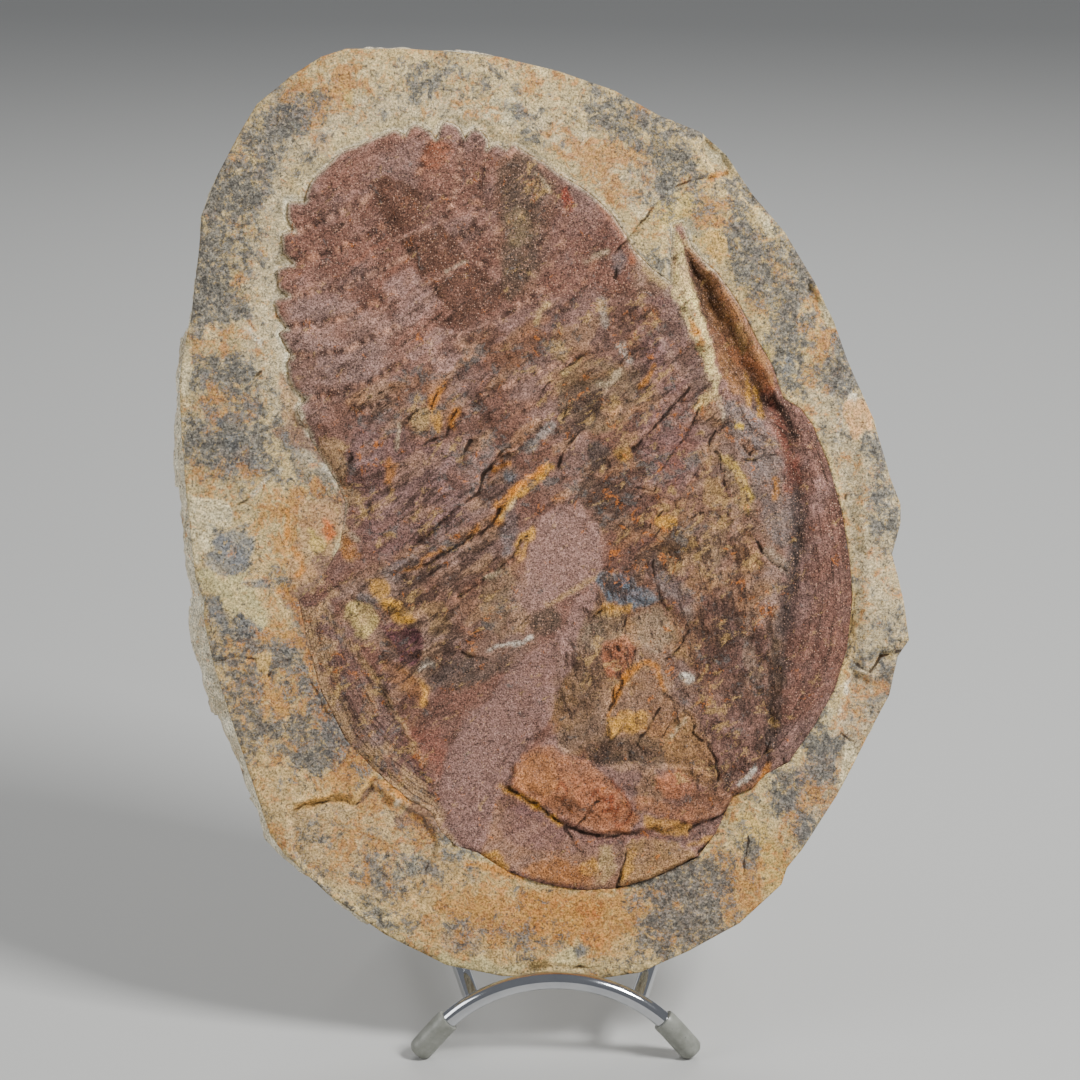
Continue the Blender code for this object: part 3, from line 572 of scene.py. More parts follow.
fossilPatches = [
    ("greyTan", 0.55, 4, "628,232 650,246 672,276 692,318 708,360 713,392 690,388 666,352 "
     "645,318 632,282"),
    ("umber", 0.5, 3, "640,262 662,285 682,325 694,362 680,366 660,330 644,300"),
    ("dusk", 0.45, 3, "600,205 628,235 640,275 625,290 606,262 596,232"),
    ("plumDark", 0.5, 4, "700,622 730,602 766,620 775,700 765,768 738,784 716,760 702,720 "
     "690,680"),
    ("oliveDark", 0.45, 4, "560,640 575,615 600,606 606,640 598,690 606,730 590,750 562,745 "
     "555,700"),
    ("rust", 0.5, 3, "420,160 425,148 433,141 445,141 452,150 450,160 440,168 428,172"),
    ("umber", 0.9, 0.5, "370,183 387,175 402,180 422,192 427,220 390,235 385,223 380,210"),
    ("umber", 0.95, 0.3, "398,240 442,223 462,247 467,263 422,277 410,257"),
    ("umber", 0.95, 0.3, "425,280 472,267 492,277 495,293 448,313 435,293"),
    ("umber", 0.85, 0.3, "448,317 502,280 528,277 508,300 462,330"),
    ("umber", 0.7, 0.5, "472,333 488,323 505,333 482,353"),
    ("umber", 0.65, 0.5, "515,343 535,333 542,350 522,360"),
    ("umber", 0.6, 0.5, "492,357 515,350 522,367 498,370"),
    ("brown", 0.5, 3, "484,352 510,340 530,320 545,335 530,360 505,372 488,372"),
    ("pale", 0.75, 0.4, "383,288 394,276 411,266 421,279 402,300 391,300"),
    ("pale", 0.7, 0.4, "396,320 410,303 428,290 443,302 434,314 418,327 402,326"),
    ("pale", 0.8, 0.4, "406,358 424,338 441,326 454,331 440,343 422,357 412,362"),
    ("pale", 0.55, 0.5, "424,384 436,366 452,352 462,356 452,370 436,382"),
    ("pale", 0.35, 1, "455,392 470,378 488,370 496,376 480,388 464,400"),
    ("umber", 0.45, 2, "285,352 300,352 318,356 314,368 296,370 287,362"),
    ("umber", 0.4, 3, "318,388 345,382 366,388 352,410 338,420 326,404"),
    ("oliveDark", 0.7, 2, "500,168 512,156 524,152 535,160 548,178 556,190 546,196 538,206 "
     "542,230 540,262 526,286 510,300 500,284 502,262 506,240 500,220 503,200 499,184"),
    ("olive", 0.6, 1, "506,214 518,206 528,212 536,230 528,244 514,250 508,240"),
    ("umber", 0.6, 3, "540,160 560,176 568,200 556,215 546,196"),
    ("dusk", 0.45, 6, "545,200 575,215 610,225 622,250 600,290 570,300 545,290 535,250"),
    ("red", 0.85, 1, "560,190 566,187 574,205 572,214 564,206"),
    ("oliveDark", 0.55, 2, "588,248 612,250 612,260 600,262 590,258"),
    ("slate", 0.55, 2, "612,254 622,248 628,262 620,274 612,268"),
    ("umber", 0.5, 4, "600,290 640,280 668,300 660,330 640,350 615,345 603,320"),
    ("sand", 0.5, 1.5, "640,250 650,262 662,276 670,284 664,290 650,280 640,268"),
    ("mauve", 0.45, 6, "640,300 668,292 690,330 706,372 700,396 668,392 646,360 634,330"),
    ("brown", 0.6, 1.2, "642,306 654,303 661,311 657,322 650,336 641,322"),
    ("sand", 0.5, 1.2, "541,340 552,344 560,340 567,352 566,362 556,360 547,350"),
    ("olive", 0.55, 4, "560,374 585,362 618,360 640,372 636,404 612,432 585,432 562,412 554,392"),
    ("oliveDark", 0.55, 2, "552,402 575,386 600,392 605,412 590,428 570,440 556,432 560,416"),
    ("slateDark", 0.7, 2, "586,446 600,440 610,450 604,468 592,470"),
    ("oliveDark", 0.6, 2, "574,484 606,476 624,490 618,508 596,514 580,504"),
    ("peach", 0.8, 1, "601,412 609,406 620,404 622,409 615,414 612,422 608,416"),
    ("amber", 0.7, 1, "612,448 626,448 636,456 626,462 616,458"),
    ("oliveDark", 0.4, 3, "630,372 640,360 650,380 640,398 628,394"),
    ("mauve", 0.5, 5, "640,420 690,396 706,430 700,470 672,500 645,482 640,450"),
    ("maroon", 0.4, 4, "655,470 690,430 700,445 680,480 662,492"),
    ("sand", 0.75, 1.2, "692,408 699,399 708,388 716,384 719,398 709,404 700,411"),
    ("tan", 0.6, 1.5, "707,476 721,478 722,502 712,512 702,500"),
    ("olive", 0.5, 2, "716,452 734,456 756,494 756,516 740,512 728,488"),
    ("slate", 0.5, 5, "722,398 745,410 770,424 788,470 798,500 794,560 770,540 756,500 745,460 "
     "726,430"),
    ("brown", 0.8, 0.8, "737,441 748,439 757,451 749,456 741,448"),
    ("greyTan", 0.7, 1.2, "761,547 776,549 790,563 788,576 776,566 766,560"),
    ("olive", 0.45, 3, "700,532 722,528 730,548 716,566 700,556"),
    ("amber", 0.8, 1, "655,516 664,514 675,515 675,524 664,530 656,525"),
    ("tan", 0.45, 3, "655,530 690,530 700,560 680,575 655,565"),
    ("brown", 0.7, 1.5, "628,526 636,530 624,548 614,556 611,550"),
    ("oliveDark", 0.5, 3, "590,516 612,506 632,514 634,530 615,532 596,530"),
    ("blue", 0.85, 1, "594,576 604,570 616,574 632,578 642,588 653,590 658,602 645,607 628,607 "
     "612,602 600,594"),
    ("slate", 0.5, 4, "655,560 680,580 700,600 690,625 668,600 655,585"),
    ("umber", 0.5, 5, "670,600 690,622 704,596 722,640 736,620 732,680 706,690 690,662 680,640"),
    ("greyTan", 0.5, 3, "736,616 748,616 756,660 762,690 750,690 742,650"),
    ("mauve", 0.4, 8, "350,430 400,425 440,440 470,480 470,520 430,540 390,560 360,545 350,500"),
    ("brown", 0.45, 2, "344,402 352,393 362,391 369,398 362,405 352,409 346,414"),
    ("peach", 0.6, 1.2, "344,402 352,393 362,391 369,398 362,404 352,406"),
    ("brown", 0.5, 5, "392,385 430,368 450,378 458,420 440,445 412,440 396,415"),
    ("slate", 0.65, 1.5, "408,392 420,392 428,398 420,408 410,404"),
    ("sand", 0.6, 1.5, "411,412 424,408 432,412 428,430 418,434 412,426"),
    ("amber", 0.85, 0.8, "433,409 440,411 441,424 438,435 434,427 431,416"),
    ("umber", 0.5, 3, "448,466 466,470 470,490 452,494 444,480"),
    ("blue", 0.7, 1.2, "503,472 512,469 516,476 510,483 504,479"),
    ("slate", 0.5, 3, "506,500 516,500 518,530 510,552 504,556 500,530"),
    ("orange", 0.6, 1.5, "384,462 391,458 396,466 392,484 386,486"),
    ("orange", 0.55, 3, "335,520 350,538 360,556 350,560 338,548 330,530"),
    ("slate", 0.5, 4, "392,562 415,552 425,566 405,580 388,580 380,572"),
    ("amber", 0.75, 2, "368,580 384,578 390,590 386,606 376,600 370,590"),
    ("slate", 0.75, 1, "358,592 370,594 380,602 372,607 358,600"),
    ("sand", 0.9, 1, "344,606 355,600 370,605 378,612 381,626 371,633 367,640 357,636 353,628 "
     "344,620"),
    ("maroonDeep", 0.95, 0.8, "377,625 395,622 415,628 425,640 422,660 412,669 402,662 395,646 "
     "385,635"),
    ("amber", 0.95, 0.8, "384,600 392,596 403,604 412,616 418,621 408,625 396,622 386,612"),
    ("slateDark", 0.55, 4, "420,672 440,664 462,656 490,658 510,650 515,668 480,680 456,690 "
     "430,688"),
    ("olive", 0.45, 4, "482,584 505,562 516,580 508,604 520,625 505,640 486,625 480,605"),
    ("tan", 0.5, 3, "424,606 440,600 452,612 448,632 430,636"),
    ("oliveDark", 0.8, 1.5, "530,612 545,607 558,611 561,627 546,636 532,631"),
    ("orangeBrown", 0.5, 3, "380,655 405,667 430,690 426,706 400,690 386,676"),
    ("brick", 0.45, 5, "405,722 440,730 448,750 440,780 425,800 412,770 400,745"),
    ("umber", 0.5, 4, "398,695 425,692 432,712 420,735 400,720"),
    ("plumDark", 0.6, 3, "300,604 316,600 336,622 362,650 384,690 408,735 436,782 432,800 "
     "405,770 375,735 345,700 320,660 306,630"),
    ("tan", 0.5, 2, "362,686 372,684 378,710 370,720 363,704"),
    ("bandUp", 0.9, 1, "558,504 578,503 598,522 600,545 602,570 590,585 572,596 548,606 530,612 "
     "512,632 506,618 520,600 530,580 524,560 530,540 540,520"),
    ("bandLow", 0.9, 1, "575,598 596,588 600,598 586,618 577,636 575,660 560,690 545,725 522,752 "
     "512,775 508,790 495,800 490,830 480,853 462,856 440,838 428,812 442,780 450,748 462,722 "
     "490,700 500,680 520,660 552,640 566,620"),
    ("tan", 0.35, 2, "508,606 520,604 532,618 524,634 512,632"),
    ("amber", 0.75, 1, "596,613 605,603 620,606 633,605 628,612 614,617 604,616"),
    ("greyTan", 0.55, 3, "585,626 600,614 625,613 626,632 612,642 592,652 582,642"),
    ("oliveDark", 0.5, 1.5, "594,622 606,616 620,624 616,634 604,632"),
    ("greyTan", 0.55, 3, "632,612 660,606 672,620 674,640 660,655 645,650 636,636"),
    ("rustBrown", 0.75, 1.5, "600,646 624,634 636,648 633,660 619,674 613,682 604,668"),
    ("orange", 0.9, 0.8, "612,692 622,676 633,662 643,661 634,673 623,688 616,702 610,716 "
     "607,716 611,703"),
    ("plate", 0.75, 1, "640,668 658,672 662,690 656,700 648,725 638,735 612,742 605,735 609,718 "
     "620,700 630,680"),
    ("amber", 0.8, 1.2, "608,718 618,712 640,708 648,712 645,728 632,734 621,730 611,739 "
     "604,733"),
    ("brown", 0.6, 1.5, "650,706 665,695 680,708 673,722 660,735 650,738 648,725"),
    ("headTan", 0.8, 1, "671,722 685,711 693,724 695,732 708,745 716,765 720,782 700,787 682,773 "
     "666,766 661,746 667,732"),
    ("mauveDark", 0.6, 4, "700,690 735,676 762,682 776,700 772,744 750,778 730,785 720,768 "
     "712,745 697,728"),
    ("slateDark", 0.5, 3, "640,735 660,738 668,760 650,768 636,760 600,765 585,750 600,738"),
    ("redPlate", 0.85, 1, "511,782 515,765 522,755 535,746 555,746 570,755 590,762 606,775 "
     "620,790 630,800 640,818 628,832 600,832 575,822 555,812 535,800 520,792"),
    ("orangeTan", 0.65, 3, "514,768 535,752 556,758 562,788 542,796 520,786"),
    ("brickRed", 0.75, 3, "572,776 600,778 622,800 636,816 626,831 600,829 584,810 575,795"),
    ("brickRed", 0.85, 3, "655,776 675,768 690,777 693,792 680,798 660,796"),
    ("redPlate", 0.75, 3, "630,796 660,800 700,806 716,814 690,822 650,812 636,808"),
    ("brown", 0.6, 3, "692,790 722,786 734,800 726,812 700,820 690,812"),
    ("amber", 0.6, 1.5, "640,812 660,818 680,821 692,826 686,836 660,832 645,826"),
    ("mauve", 0.5, 4, "504,806 530,800 560,822 590,836 612,838 612,852 590,856 540,850 510,842 "
     "498,822"),
    ("plateRust", 0.65, 4, "520,864 560,858 590,870 600,880 580,888 545,882 522,872"),
    ("amber", 0.7, 2, "580,862 592,858 600,870 590,877 580,872"),
    ("sand", 0.55, 2, "600,846 612,845 616,870 605,885 595,884"),
    ("amber", 0.75, 1.5, "480,856 495,850 506,862 512,872 500,872 488,866"),
    ("subPlate", 0.85, 0.8, "622,846 632,840 650,838 675,842 692,850 697,858 680,868 655,880 "
     "632,888 616,888 620,875 626,860"),
    ("fibre", 0.85, 2, "682,232 692,238 705,262 716,276 730,292 741,310 752,330 762,347 771,362 "
     "775,378 772,392 762,390 745,400 728,392 722,372 714,345 706,320 698,296 690,268"),
    # the pale step down into the spine's groove: its pale stone and a painted highlight on the lit
    # wall
    ("creamStripAndHighlight", 0.95, 1, "668,215 676,224 682,244 690,274 700,306 707,330 714,352 720,380 "
     "716,398 710,384 704,362 694,342 684,318 674,296 668,276 664,250"),
    ("orange", 0.85, 1.2, "688,318 694,320 702,336 706,347 700,344 692,332"),
    # painted shadow along the groove's left edge, under the step into the spine's groove
    ("grooveShadow", 0.7, 1.5, "684,240 692,262 702,292 712,322 722,350 716,352 704,318 694,288"),
    ("rustBrown", 0.4, 3, "712,330 740,340 762,366 772,388 756,380 735,362"),
    ("tan", 0.6, 1.5, "736,322 744,326 748,350 742,356 737,340")]

fossilStrokes = [
    ("creamLine", 0.9, 0.5, "280,200 292,201 307,199"),
    ("creamLine", 0.85, 0.5, "281,231 296,233"),
    ("creamLine", 0.85, 0.5, "278,265 286,263 295,266"),
    ("creamLine", 0.9, 0.5, "273,293 283,293 291,296"),
    ("creamLine", 0.85, 0.5, "278,327 289,329"),
    ("creamLine", 0.85, 0.5, "283,355 292,357"),
    ("creamLine", 0.9, 0.5, "296,397 303,400 311,397"),
    ("creamLine", 0.85, 0.5, "297,403 303,418 312,436"),
    # a pale line along a furrow on the axis: a painted highlight
    ("pinkLine", 0.55, 0.45, "392,241 402,237 416,233 430,227"),
    ("creamLine", 0.7, 0.5, "448,272 456,267 465,262"),
    ("pinkLine", 0.5, 0.45, "420,284 430,282 442,278 452,274"),
    ("pinkLine", 0.45, 0.45, "410,296 425,286 436,280"),
    ("pinkLine", 0.45, 0.5, "450,336 466,334 482,326 490,318"),
    ("pinkLine", 0.4, 0.6, "290,292 305,288 318,284 330,280"),
    ("pinkLine", 0.4, 0.6, "335,232 345,226 356,216 366,208"),
    ("rustLine", 0.45, 0.6, "345,268 356,262 366,254 378,246 388,240"),
    ("rustLine", 0.4, 0.6, "378,284 390,274 400,264 408,258"),
    ("pinkLine", 0.45, 0.5, "350,330 362,324 376,314 388,304 396,298"),
    ("rustLine", 0.45, 0.6, "396,345 406,336 416,326 424,318"),
    ("umber", 0.5, 0.6, "410,340 422,330 434,320 440,314"),
    ("pinkLine", 0.35, 0.5, "292,332 310,330 330,326 346,318"),
    ("umber", 0.55, 0.7, "497,180 498,200 500,222 503,242"),
    ("pinkLine", 0.35, 0.5, "450,200 462,188 470,176 474,165"),
    ("cream", 0.75, 0.6, "536,173 544,182 550,193"),
    ("rust", 0.55, 1, "600,204 614,222 626,238 634,251 632,262"),
    ("cream", 0.6, 0.9, "587,262 596,257 606,252"),
    ("sand", 0.6, 0.8, "536,322 540,312 546,304"),
    ("sand", 0.55, 0.8, "562,374 572,366 582,358"),
    ("cream", 0.55, 0.9, "598,383 606,385 612,380 620,370"),
    ("grey", 0.75, 1.5, "529,449 538,440 545,432 551,426"),
    ("white", 0.55, 1.1, "600,300 603,310 607,324"),
    ("white", 0.7, 1.2, "622,346 627,354 629,360"),
    ("orange", 0.7, 0.7, "640,387 645,380 650,372 654,366"),
    ("cream", 0.5, 0.9, "716,398 720,406 724,416"),
    ("oliveLine", 0.75, 0.8, "728,457 738,470 746,484 752,499"),
    ("oliveLine", 0.55, 0.6, "722,456 732,470 741,488 746,504 750,513"),
    ("yellow", 0.95, 0.7, "735,427 742,427"),
    ("amber", 0.85, 0.7, "747,372 749,390 750,405"),
    ("amber", 0.85, 0.9, "755,386 758,398 761,414"),
    ("redStreak", 0.6, 1.5, "768,392 775,408 781,425 785,442 789,458 790,475 789,490"),
    ("redStreak", 0.5, 0.8, "796,458 799,474 800,490"),
    # a painted shadow line beside the red streak
    ("blackShadowLine", 0.85, 1.1, "773,396 780,405 786,415 791,428 795,440"),
    ("orange", 0.7, 0.8, "775,478 777,490 776,500"),
    ("slateDark", 0.6, 2.4, "796,497 797,520 796,545 790,575 785,600 780,640 777,690 772,740"),
    ("peach", 0.55, 1.2, "742,528 748,540 752,552 753,565"),
    ("tan", 0.7, 0.8, "548,604 570,592 595,577"),
    ("orange", 0.9, 1, "432,406 435,397 440,389 446,385"),
    ("orange", 0.85, 0.9, "457,409 453,417 451,426"),
    ("orange", 0.85, 0.8, "492,470 499,466 508,463"),
    ("orange", 0.95, 1.6, "497,520 500,509 506,500 514,492 524,485 536,478 546,470"),
    ("amber", 0.9, 1.1, "500,518 505,508 512,500 522,492 534,485 544,477 550,468"),
    ("cream", 0.6, 0.6, "502,516 508,507 516,499"),
    ("orange", 0.85, 0.7, "479,527 472,534 466,540"),
    ("orange", 0.85, 0.6, "424,565 413,569 406,571"),
    ("orange", 0.75, 0.7, "421,560 430,556 438,552 445,547"),
    ("amber", 0.9, 0.8, "517,553 516,545 521,537 527,532 535,530"),
    ("amber", 0.85, 0.8, "533,535 527,541 524,548 525,556 519,560"),
    ("cream", 0.75, 0.6, "485,579 492,574 500,570"),
    ("pinkLine", 0.5, 0.6, "350,548 372,542 392,538"),
    ("cream", 0.7, 0.5, "400,425 398,435 399,442 398,450"),
    ("white", 0.75, 0.8, "420,669 428,662 436,665"),
    ("white", 0.8, 0.5, "487,650 500,645 512,643 522,641 532,637"),
    ("cream", 0.5, 0.8, "341,522 346,530 353,537 360,542"),
    ("white", 0.85, 0.7, "450,842 458,850 464,857"),
    ("cream", 0.7, 0.7, "425,815 435,828 444,838 450,842"),
    ("amber", 0.7, 0.9, "420,680 426,692 424,704"),
    ("tan", 0.45, 0.8, "300,620 320,655 345,690"),
    ("tan", 0.4, 0.8, "322,606 345,640 372,676 400,720 425,765"),
    ("plumDark", 0.5, 1, "312,612 330,645 355,685 385,730 415,770"),
    ("tan", 0.4, 0.7, "350,640 366,662 384,690 404,728"),
    ("orange", 0.8, 0.8, "643,661 652,664 658,668 660,676 664,688"),
    ("white", 0.95, 1.2, "683,676 687,677 690,679"),
    ("cream", 0.6, 0.6, "672,736 679,726 686,719"),
    ("goldLine", 0.9, 1, "510,790 525,798 540,808 552,818 560,824"),
    ("rustDark", 0.7, 0.5, "589,797 596,790 604,800 612,797 610,808 602,812"),
    ("rustDark", 0.65, 0.5, "612,780 620,790 627,800 636,806"),
    ("rustDark", 0.7, 0.5, "620,805 612,814 617,825 628,821 633,809 625,804"),
    ("rustDark", 0.6, 0.5, "556,790 562,782 567,790 563,798"),
    ("amber", 0.6, 1.2, "634,850 629,865 623,880"),
    ("amber", 0.7, 0.8, "498,785 505,790 512,788"),
    ("white", 0.85, 0.8, "740,785 747,777 754,769"),
    ("orange", 0.8, 1, "757,787 764,778 770,764"),
    ("brown", 0.6, 1.6, "735,792 748,788 756,780"),
    ("amber", 0.75, 0.9, "690,845 700,842 710,838")]

# cracks and plate edges, cut into the relief and painted dark: partly real cracks and partly
# painted shadow under the raised plate edges
bodyCracks = [
    (0.5, 0.35, "409,420 414,414 420,410 431,408"),
    (0.9, 0.6, "431,408 435,399 440,391"),
    (0.4, 0.35, "344,418 350,409 360,408 372,398 385,391 393,387"),
    (0.7, 0.5, "457,408 453,416 450,424 449,432 445,437 438,439 430,440 425,445"),
    (1.2, 0.8, "472,440 466,450 463,457 462,463"),
    (0.7, 0.45, "510,447 502,453 495,461 489,468"),
    (1.4, 0.9, "489,468 484,475 481,484 479,494"),
    (0.9, 0.45, "479,494 470,500 463,504 455,511 447,517 438,525 431,533 424,539 418,543"),
    (1, 0.6, "493,523 497,515 500,508"),
    (0.9, 0.45, "494,524 487,528 480,533 472,538 465,541 458,546 450,550 444,553 437,558 430,563 "
     "424,566"),
    (0.7, 0.4, "430,574 438,569 447,563 456,558 464,552"),
    (1, 0.55, "457,598 465,592 473,587 481,582 486,578"),
    (0.7, 0.4, "498,571 506,561 513,557 517,548 520,540 527,535"),
    (0.7, 0.45, "540,396 547,387 554,379 560,373 567,368 575,364 581,358 588,353"),
    (0.9, 0.55, "558,468 562,456 567,447 572,440 577,434 584,429"),
    (0.6, 0.4, "564,422 566,410 572,402"),
    (0.8, 0.4, "632,449 640,441 648,433 655,427 662,420 668,412 675,404 682,397 690,388"),
    (0.9, 0.5, "699,408 695,416 691,426 688,432"),
    (0.5, 0.3, "688,432 683,440 676,450 668,460 660,470"),
    (0.9, 0.5, "716,432 712,438 709,446"),
    (0.8, 0.45, "636,487 640,487 645,491 652,491 655,489 656,481"),
    (0.5, 0.35, "658,517 661,513 667,511 674,510 676,508 675,502"),
    (0.5, 0.35, "640,496 646,508 652,520 650,530"),
    (0.7, 0.4, "692,519 697,515 703,512 709,511 716,513 722,518 728,525 733,519"),
    (0.8, 0.5, "744,446 749,455 754,450 762,449"),
    (0.7, 0.4, "743,460 752,462 760,458 768,455 776,455"),
    (0.5, 0.4, "716,450 720,458 722,472 727,490"),
    (0.9, 0.5, "756,541 764,555 773,564 784,569 788,571"),
    (0.6, 0.4, "653,560 655,578 660,598 668,612"),
    (1, 0.5, "592,618 598,612 603,608"),
    (0.7, 0.4, "616,646 624,654 632,660 635,648"),
    (0.5, 0.35, "627,614 625,624 620,632"),
    (0.7, 0.4, "686,625 688,632 682,640 678,650 672,656 664,660"),
    (0.6, 0.35, "614,688 613,700 608,708"),
    (0.9, 0.5, "623,680 620,690 615,700 609,710"),
    (0.6, 0.4, "610,742 618,732 626,727 633,729"),
    (0.7, 0.45, "658,708 652,718 648,728 640,738 638,745 644,752"),
    (0.8, 0.45, "665,693 674,701 682,709 690,716 694,724 693,731"),
    (1.2, 0.6, "693,731 700,739 708,746 712,753 715,763 719,772 718,780"),
    (0.5, 0.35, "660,736 668,726 676,718"),
    (0.8, 0.6, "508,786 514,792 523,796 533,802 543,809 552,817 561,823 570,828 584,832 597,835 "
     "612,836"),
    (0.6, 0.4, "612,836 625,834 640,830"),
    (0.6, 0.4, "577,826 584,818 590,808 600,800"),
    (0.8, 0.5, "688,831 692,826 700,823 712,819 724,813 733,806"),
    (0.9, 0.5, "564,828 571,838 573,845 583,852"),
    (0.8, 0.5, "627,850 624,862 620,875 616,887"),
    (1, 0.6, "616,889 630,888 645,883 660,877 675,869 690,862 697,857"),
    (1, 0.6, "698,851 706,846 713,840 717,834"),
    (1, 0.5, "752,790 758,785 764,779"),
    (0.9, 0.5, "783,758 787,768 793,776"),
    (0.6, 0.35, "770,740 766,752 758,762"),
    (1, 0.5, "627,240 620,246 615,252"),
    (0.6, 0.35, "617,265 616,275 614,283"),
    (0.6, 0.4, "349,452 352,456 349,466 344,472"),
    (0.8, 0.45, "461,651 467,656 476,658 488,659")]

stoneZones = [
    ("topTone", 0.8, 14, "330,60 560,60 620,100 600,150 480,120 400,120 300,160 290,110"),
    ("leftTone", 0.8, 14, "190,260 260,230 270,300 260,400 250,520 200,520 180,400"),
    ("cutTone", 0.9, 6, "285,175 345,130 420,115 520,120 560,150 640,220 690,210 660,170 560,120 "
     "440,95 330,100 280,140 258,200 244,290 240,350 262,400 285,450 325,480 330,465 300,400 "
     "285,340 278,280 280,220"),
    ("lowLeftTone", 0.8, 14, "200,560 300,560 320,640 400,760 420,820 340,880 270,830 220,720"),
    ("scarTone", 0.9, 4, "290,812 330,802 350,806 372,782 400,790 432,812 446,840 470,862 "
     "440,900 380,900 320,880 280,845"),
    ("bottomTone", 0.8, 12, "380,900 440,860 520,880 640,890 700,860 780,830 780,890 690,955 "
     "560,965 440,965"),
    ("facetTone", 0.9, 2.5, "735,812 748,812 765,827 776,847 786,851 790,884 772,894 760,880 "
     "745,878 742,850"),
    ("rightTone", 0.8, 10, "690,160 740,180 800,250 850,350 845,400 800,400 770,350 720,260 "
     "690,230"),
    ("panelTone", 0.95, 2.5, "800,390 830,370 862,378 880,440 900,500 899,560 909,620 906,652 "
     "856,668 848,650 856,600 852,550 845,500 830,450"),
    ("lowRightTone", 0.9, 6, "820,740 845,700 855,665 905,655 890,700 860,745 835,800 800,850 "
     "780,800")]

slateShares = [
    (0.62, 8, "196,180 250,120 330,80 330,110 280,160 262,230 250,300 246,340 224,346 190,346 "
     "188,300"),
    (0.55, 8, "182,350 240,350 262,400 262,470 240,490 190,480 180,420"),
    (0.5, 6, "205,530 250,525 262,560 246,580 205,585"),
    (0.42, 9, "205,590 270,620 290,650 330,690 400,740 430,790 380,800 300,760 240,720 212,660"),
    (0.45, 8, "590,85 640,95 700,130 700,190 660,190 600,140"),
    (0.6, 7, "600,90 690,130 700,180 650,165 600,130"),
    (0.5, 8, "700,170 760,190 820,280 860,380 850,410 800,395 770,340 720,250 690,205"),
    (0.75, 4, "772,345 800,352 812,400 790,396 776,372"),
    (0.7, 4, "805,739 841,735 838,770 826,785 806,770"),
    (0.55, 7, "770,770 840,770 810,850 780,850 765,800"),
    (0.55, 6, "640,850 740,850 744,960 660,960 620,900"),
    (0.35, 8, "430,920 520,915 540,940 450,960"),
    (0.4, 8, "400,70 450,62 500,80 470,110 410,100"),
    (0.45, 4, "742,836 762,850 764,884 742,884"),
    (0.3, 10, "520,90 600,100 640,200 700,240 660,180 600,120"),
    (0.35, 6, "850,390 900,480 900,560 880,560 860,470"),
    (0.35, 6, "856,668 896,660 890,700 850,740")]

orangeShares = [
    (0.55, 9, "282,485 350,480 372,560 400,620 350,620 300,610 272,600 276,540"),
    (0.4, 10, "225,640 300,620 340,690 400,760 440,810 400,820 330,790 260,760 225,700"),
    (0.55, 10, "480,890 560,895 640,890 650,940 560,958 470,940 440,900"),
    (0.5, 10, "640,870 700,850 750,840 765,880 720,930 650,955"),
    (0.35, 9, "330,830 430,830 450,880 400,900 340,880"),
    (0.3, 10, "200,380 262,380 262,470 200,480"),
    (0.4, 8, "690,180 730,200 730,260 690,240"),
    (0.3, 10, "720,200 860,330 850,400 760,310"),
    (0.4, 9, "270,75 350,70 340,110 285,130"),
    (0.35, 9, "540,130 640,150 660,200 600,190"),
    (0.3, 8, "765,800 790,780 840,745 830,800 790,850")]

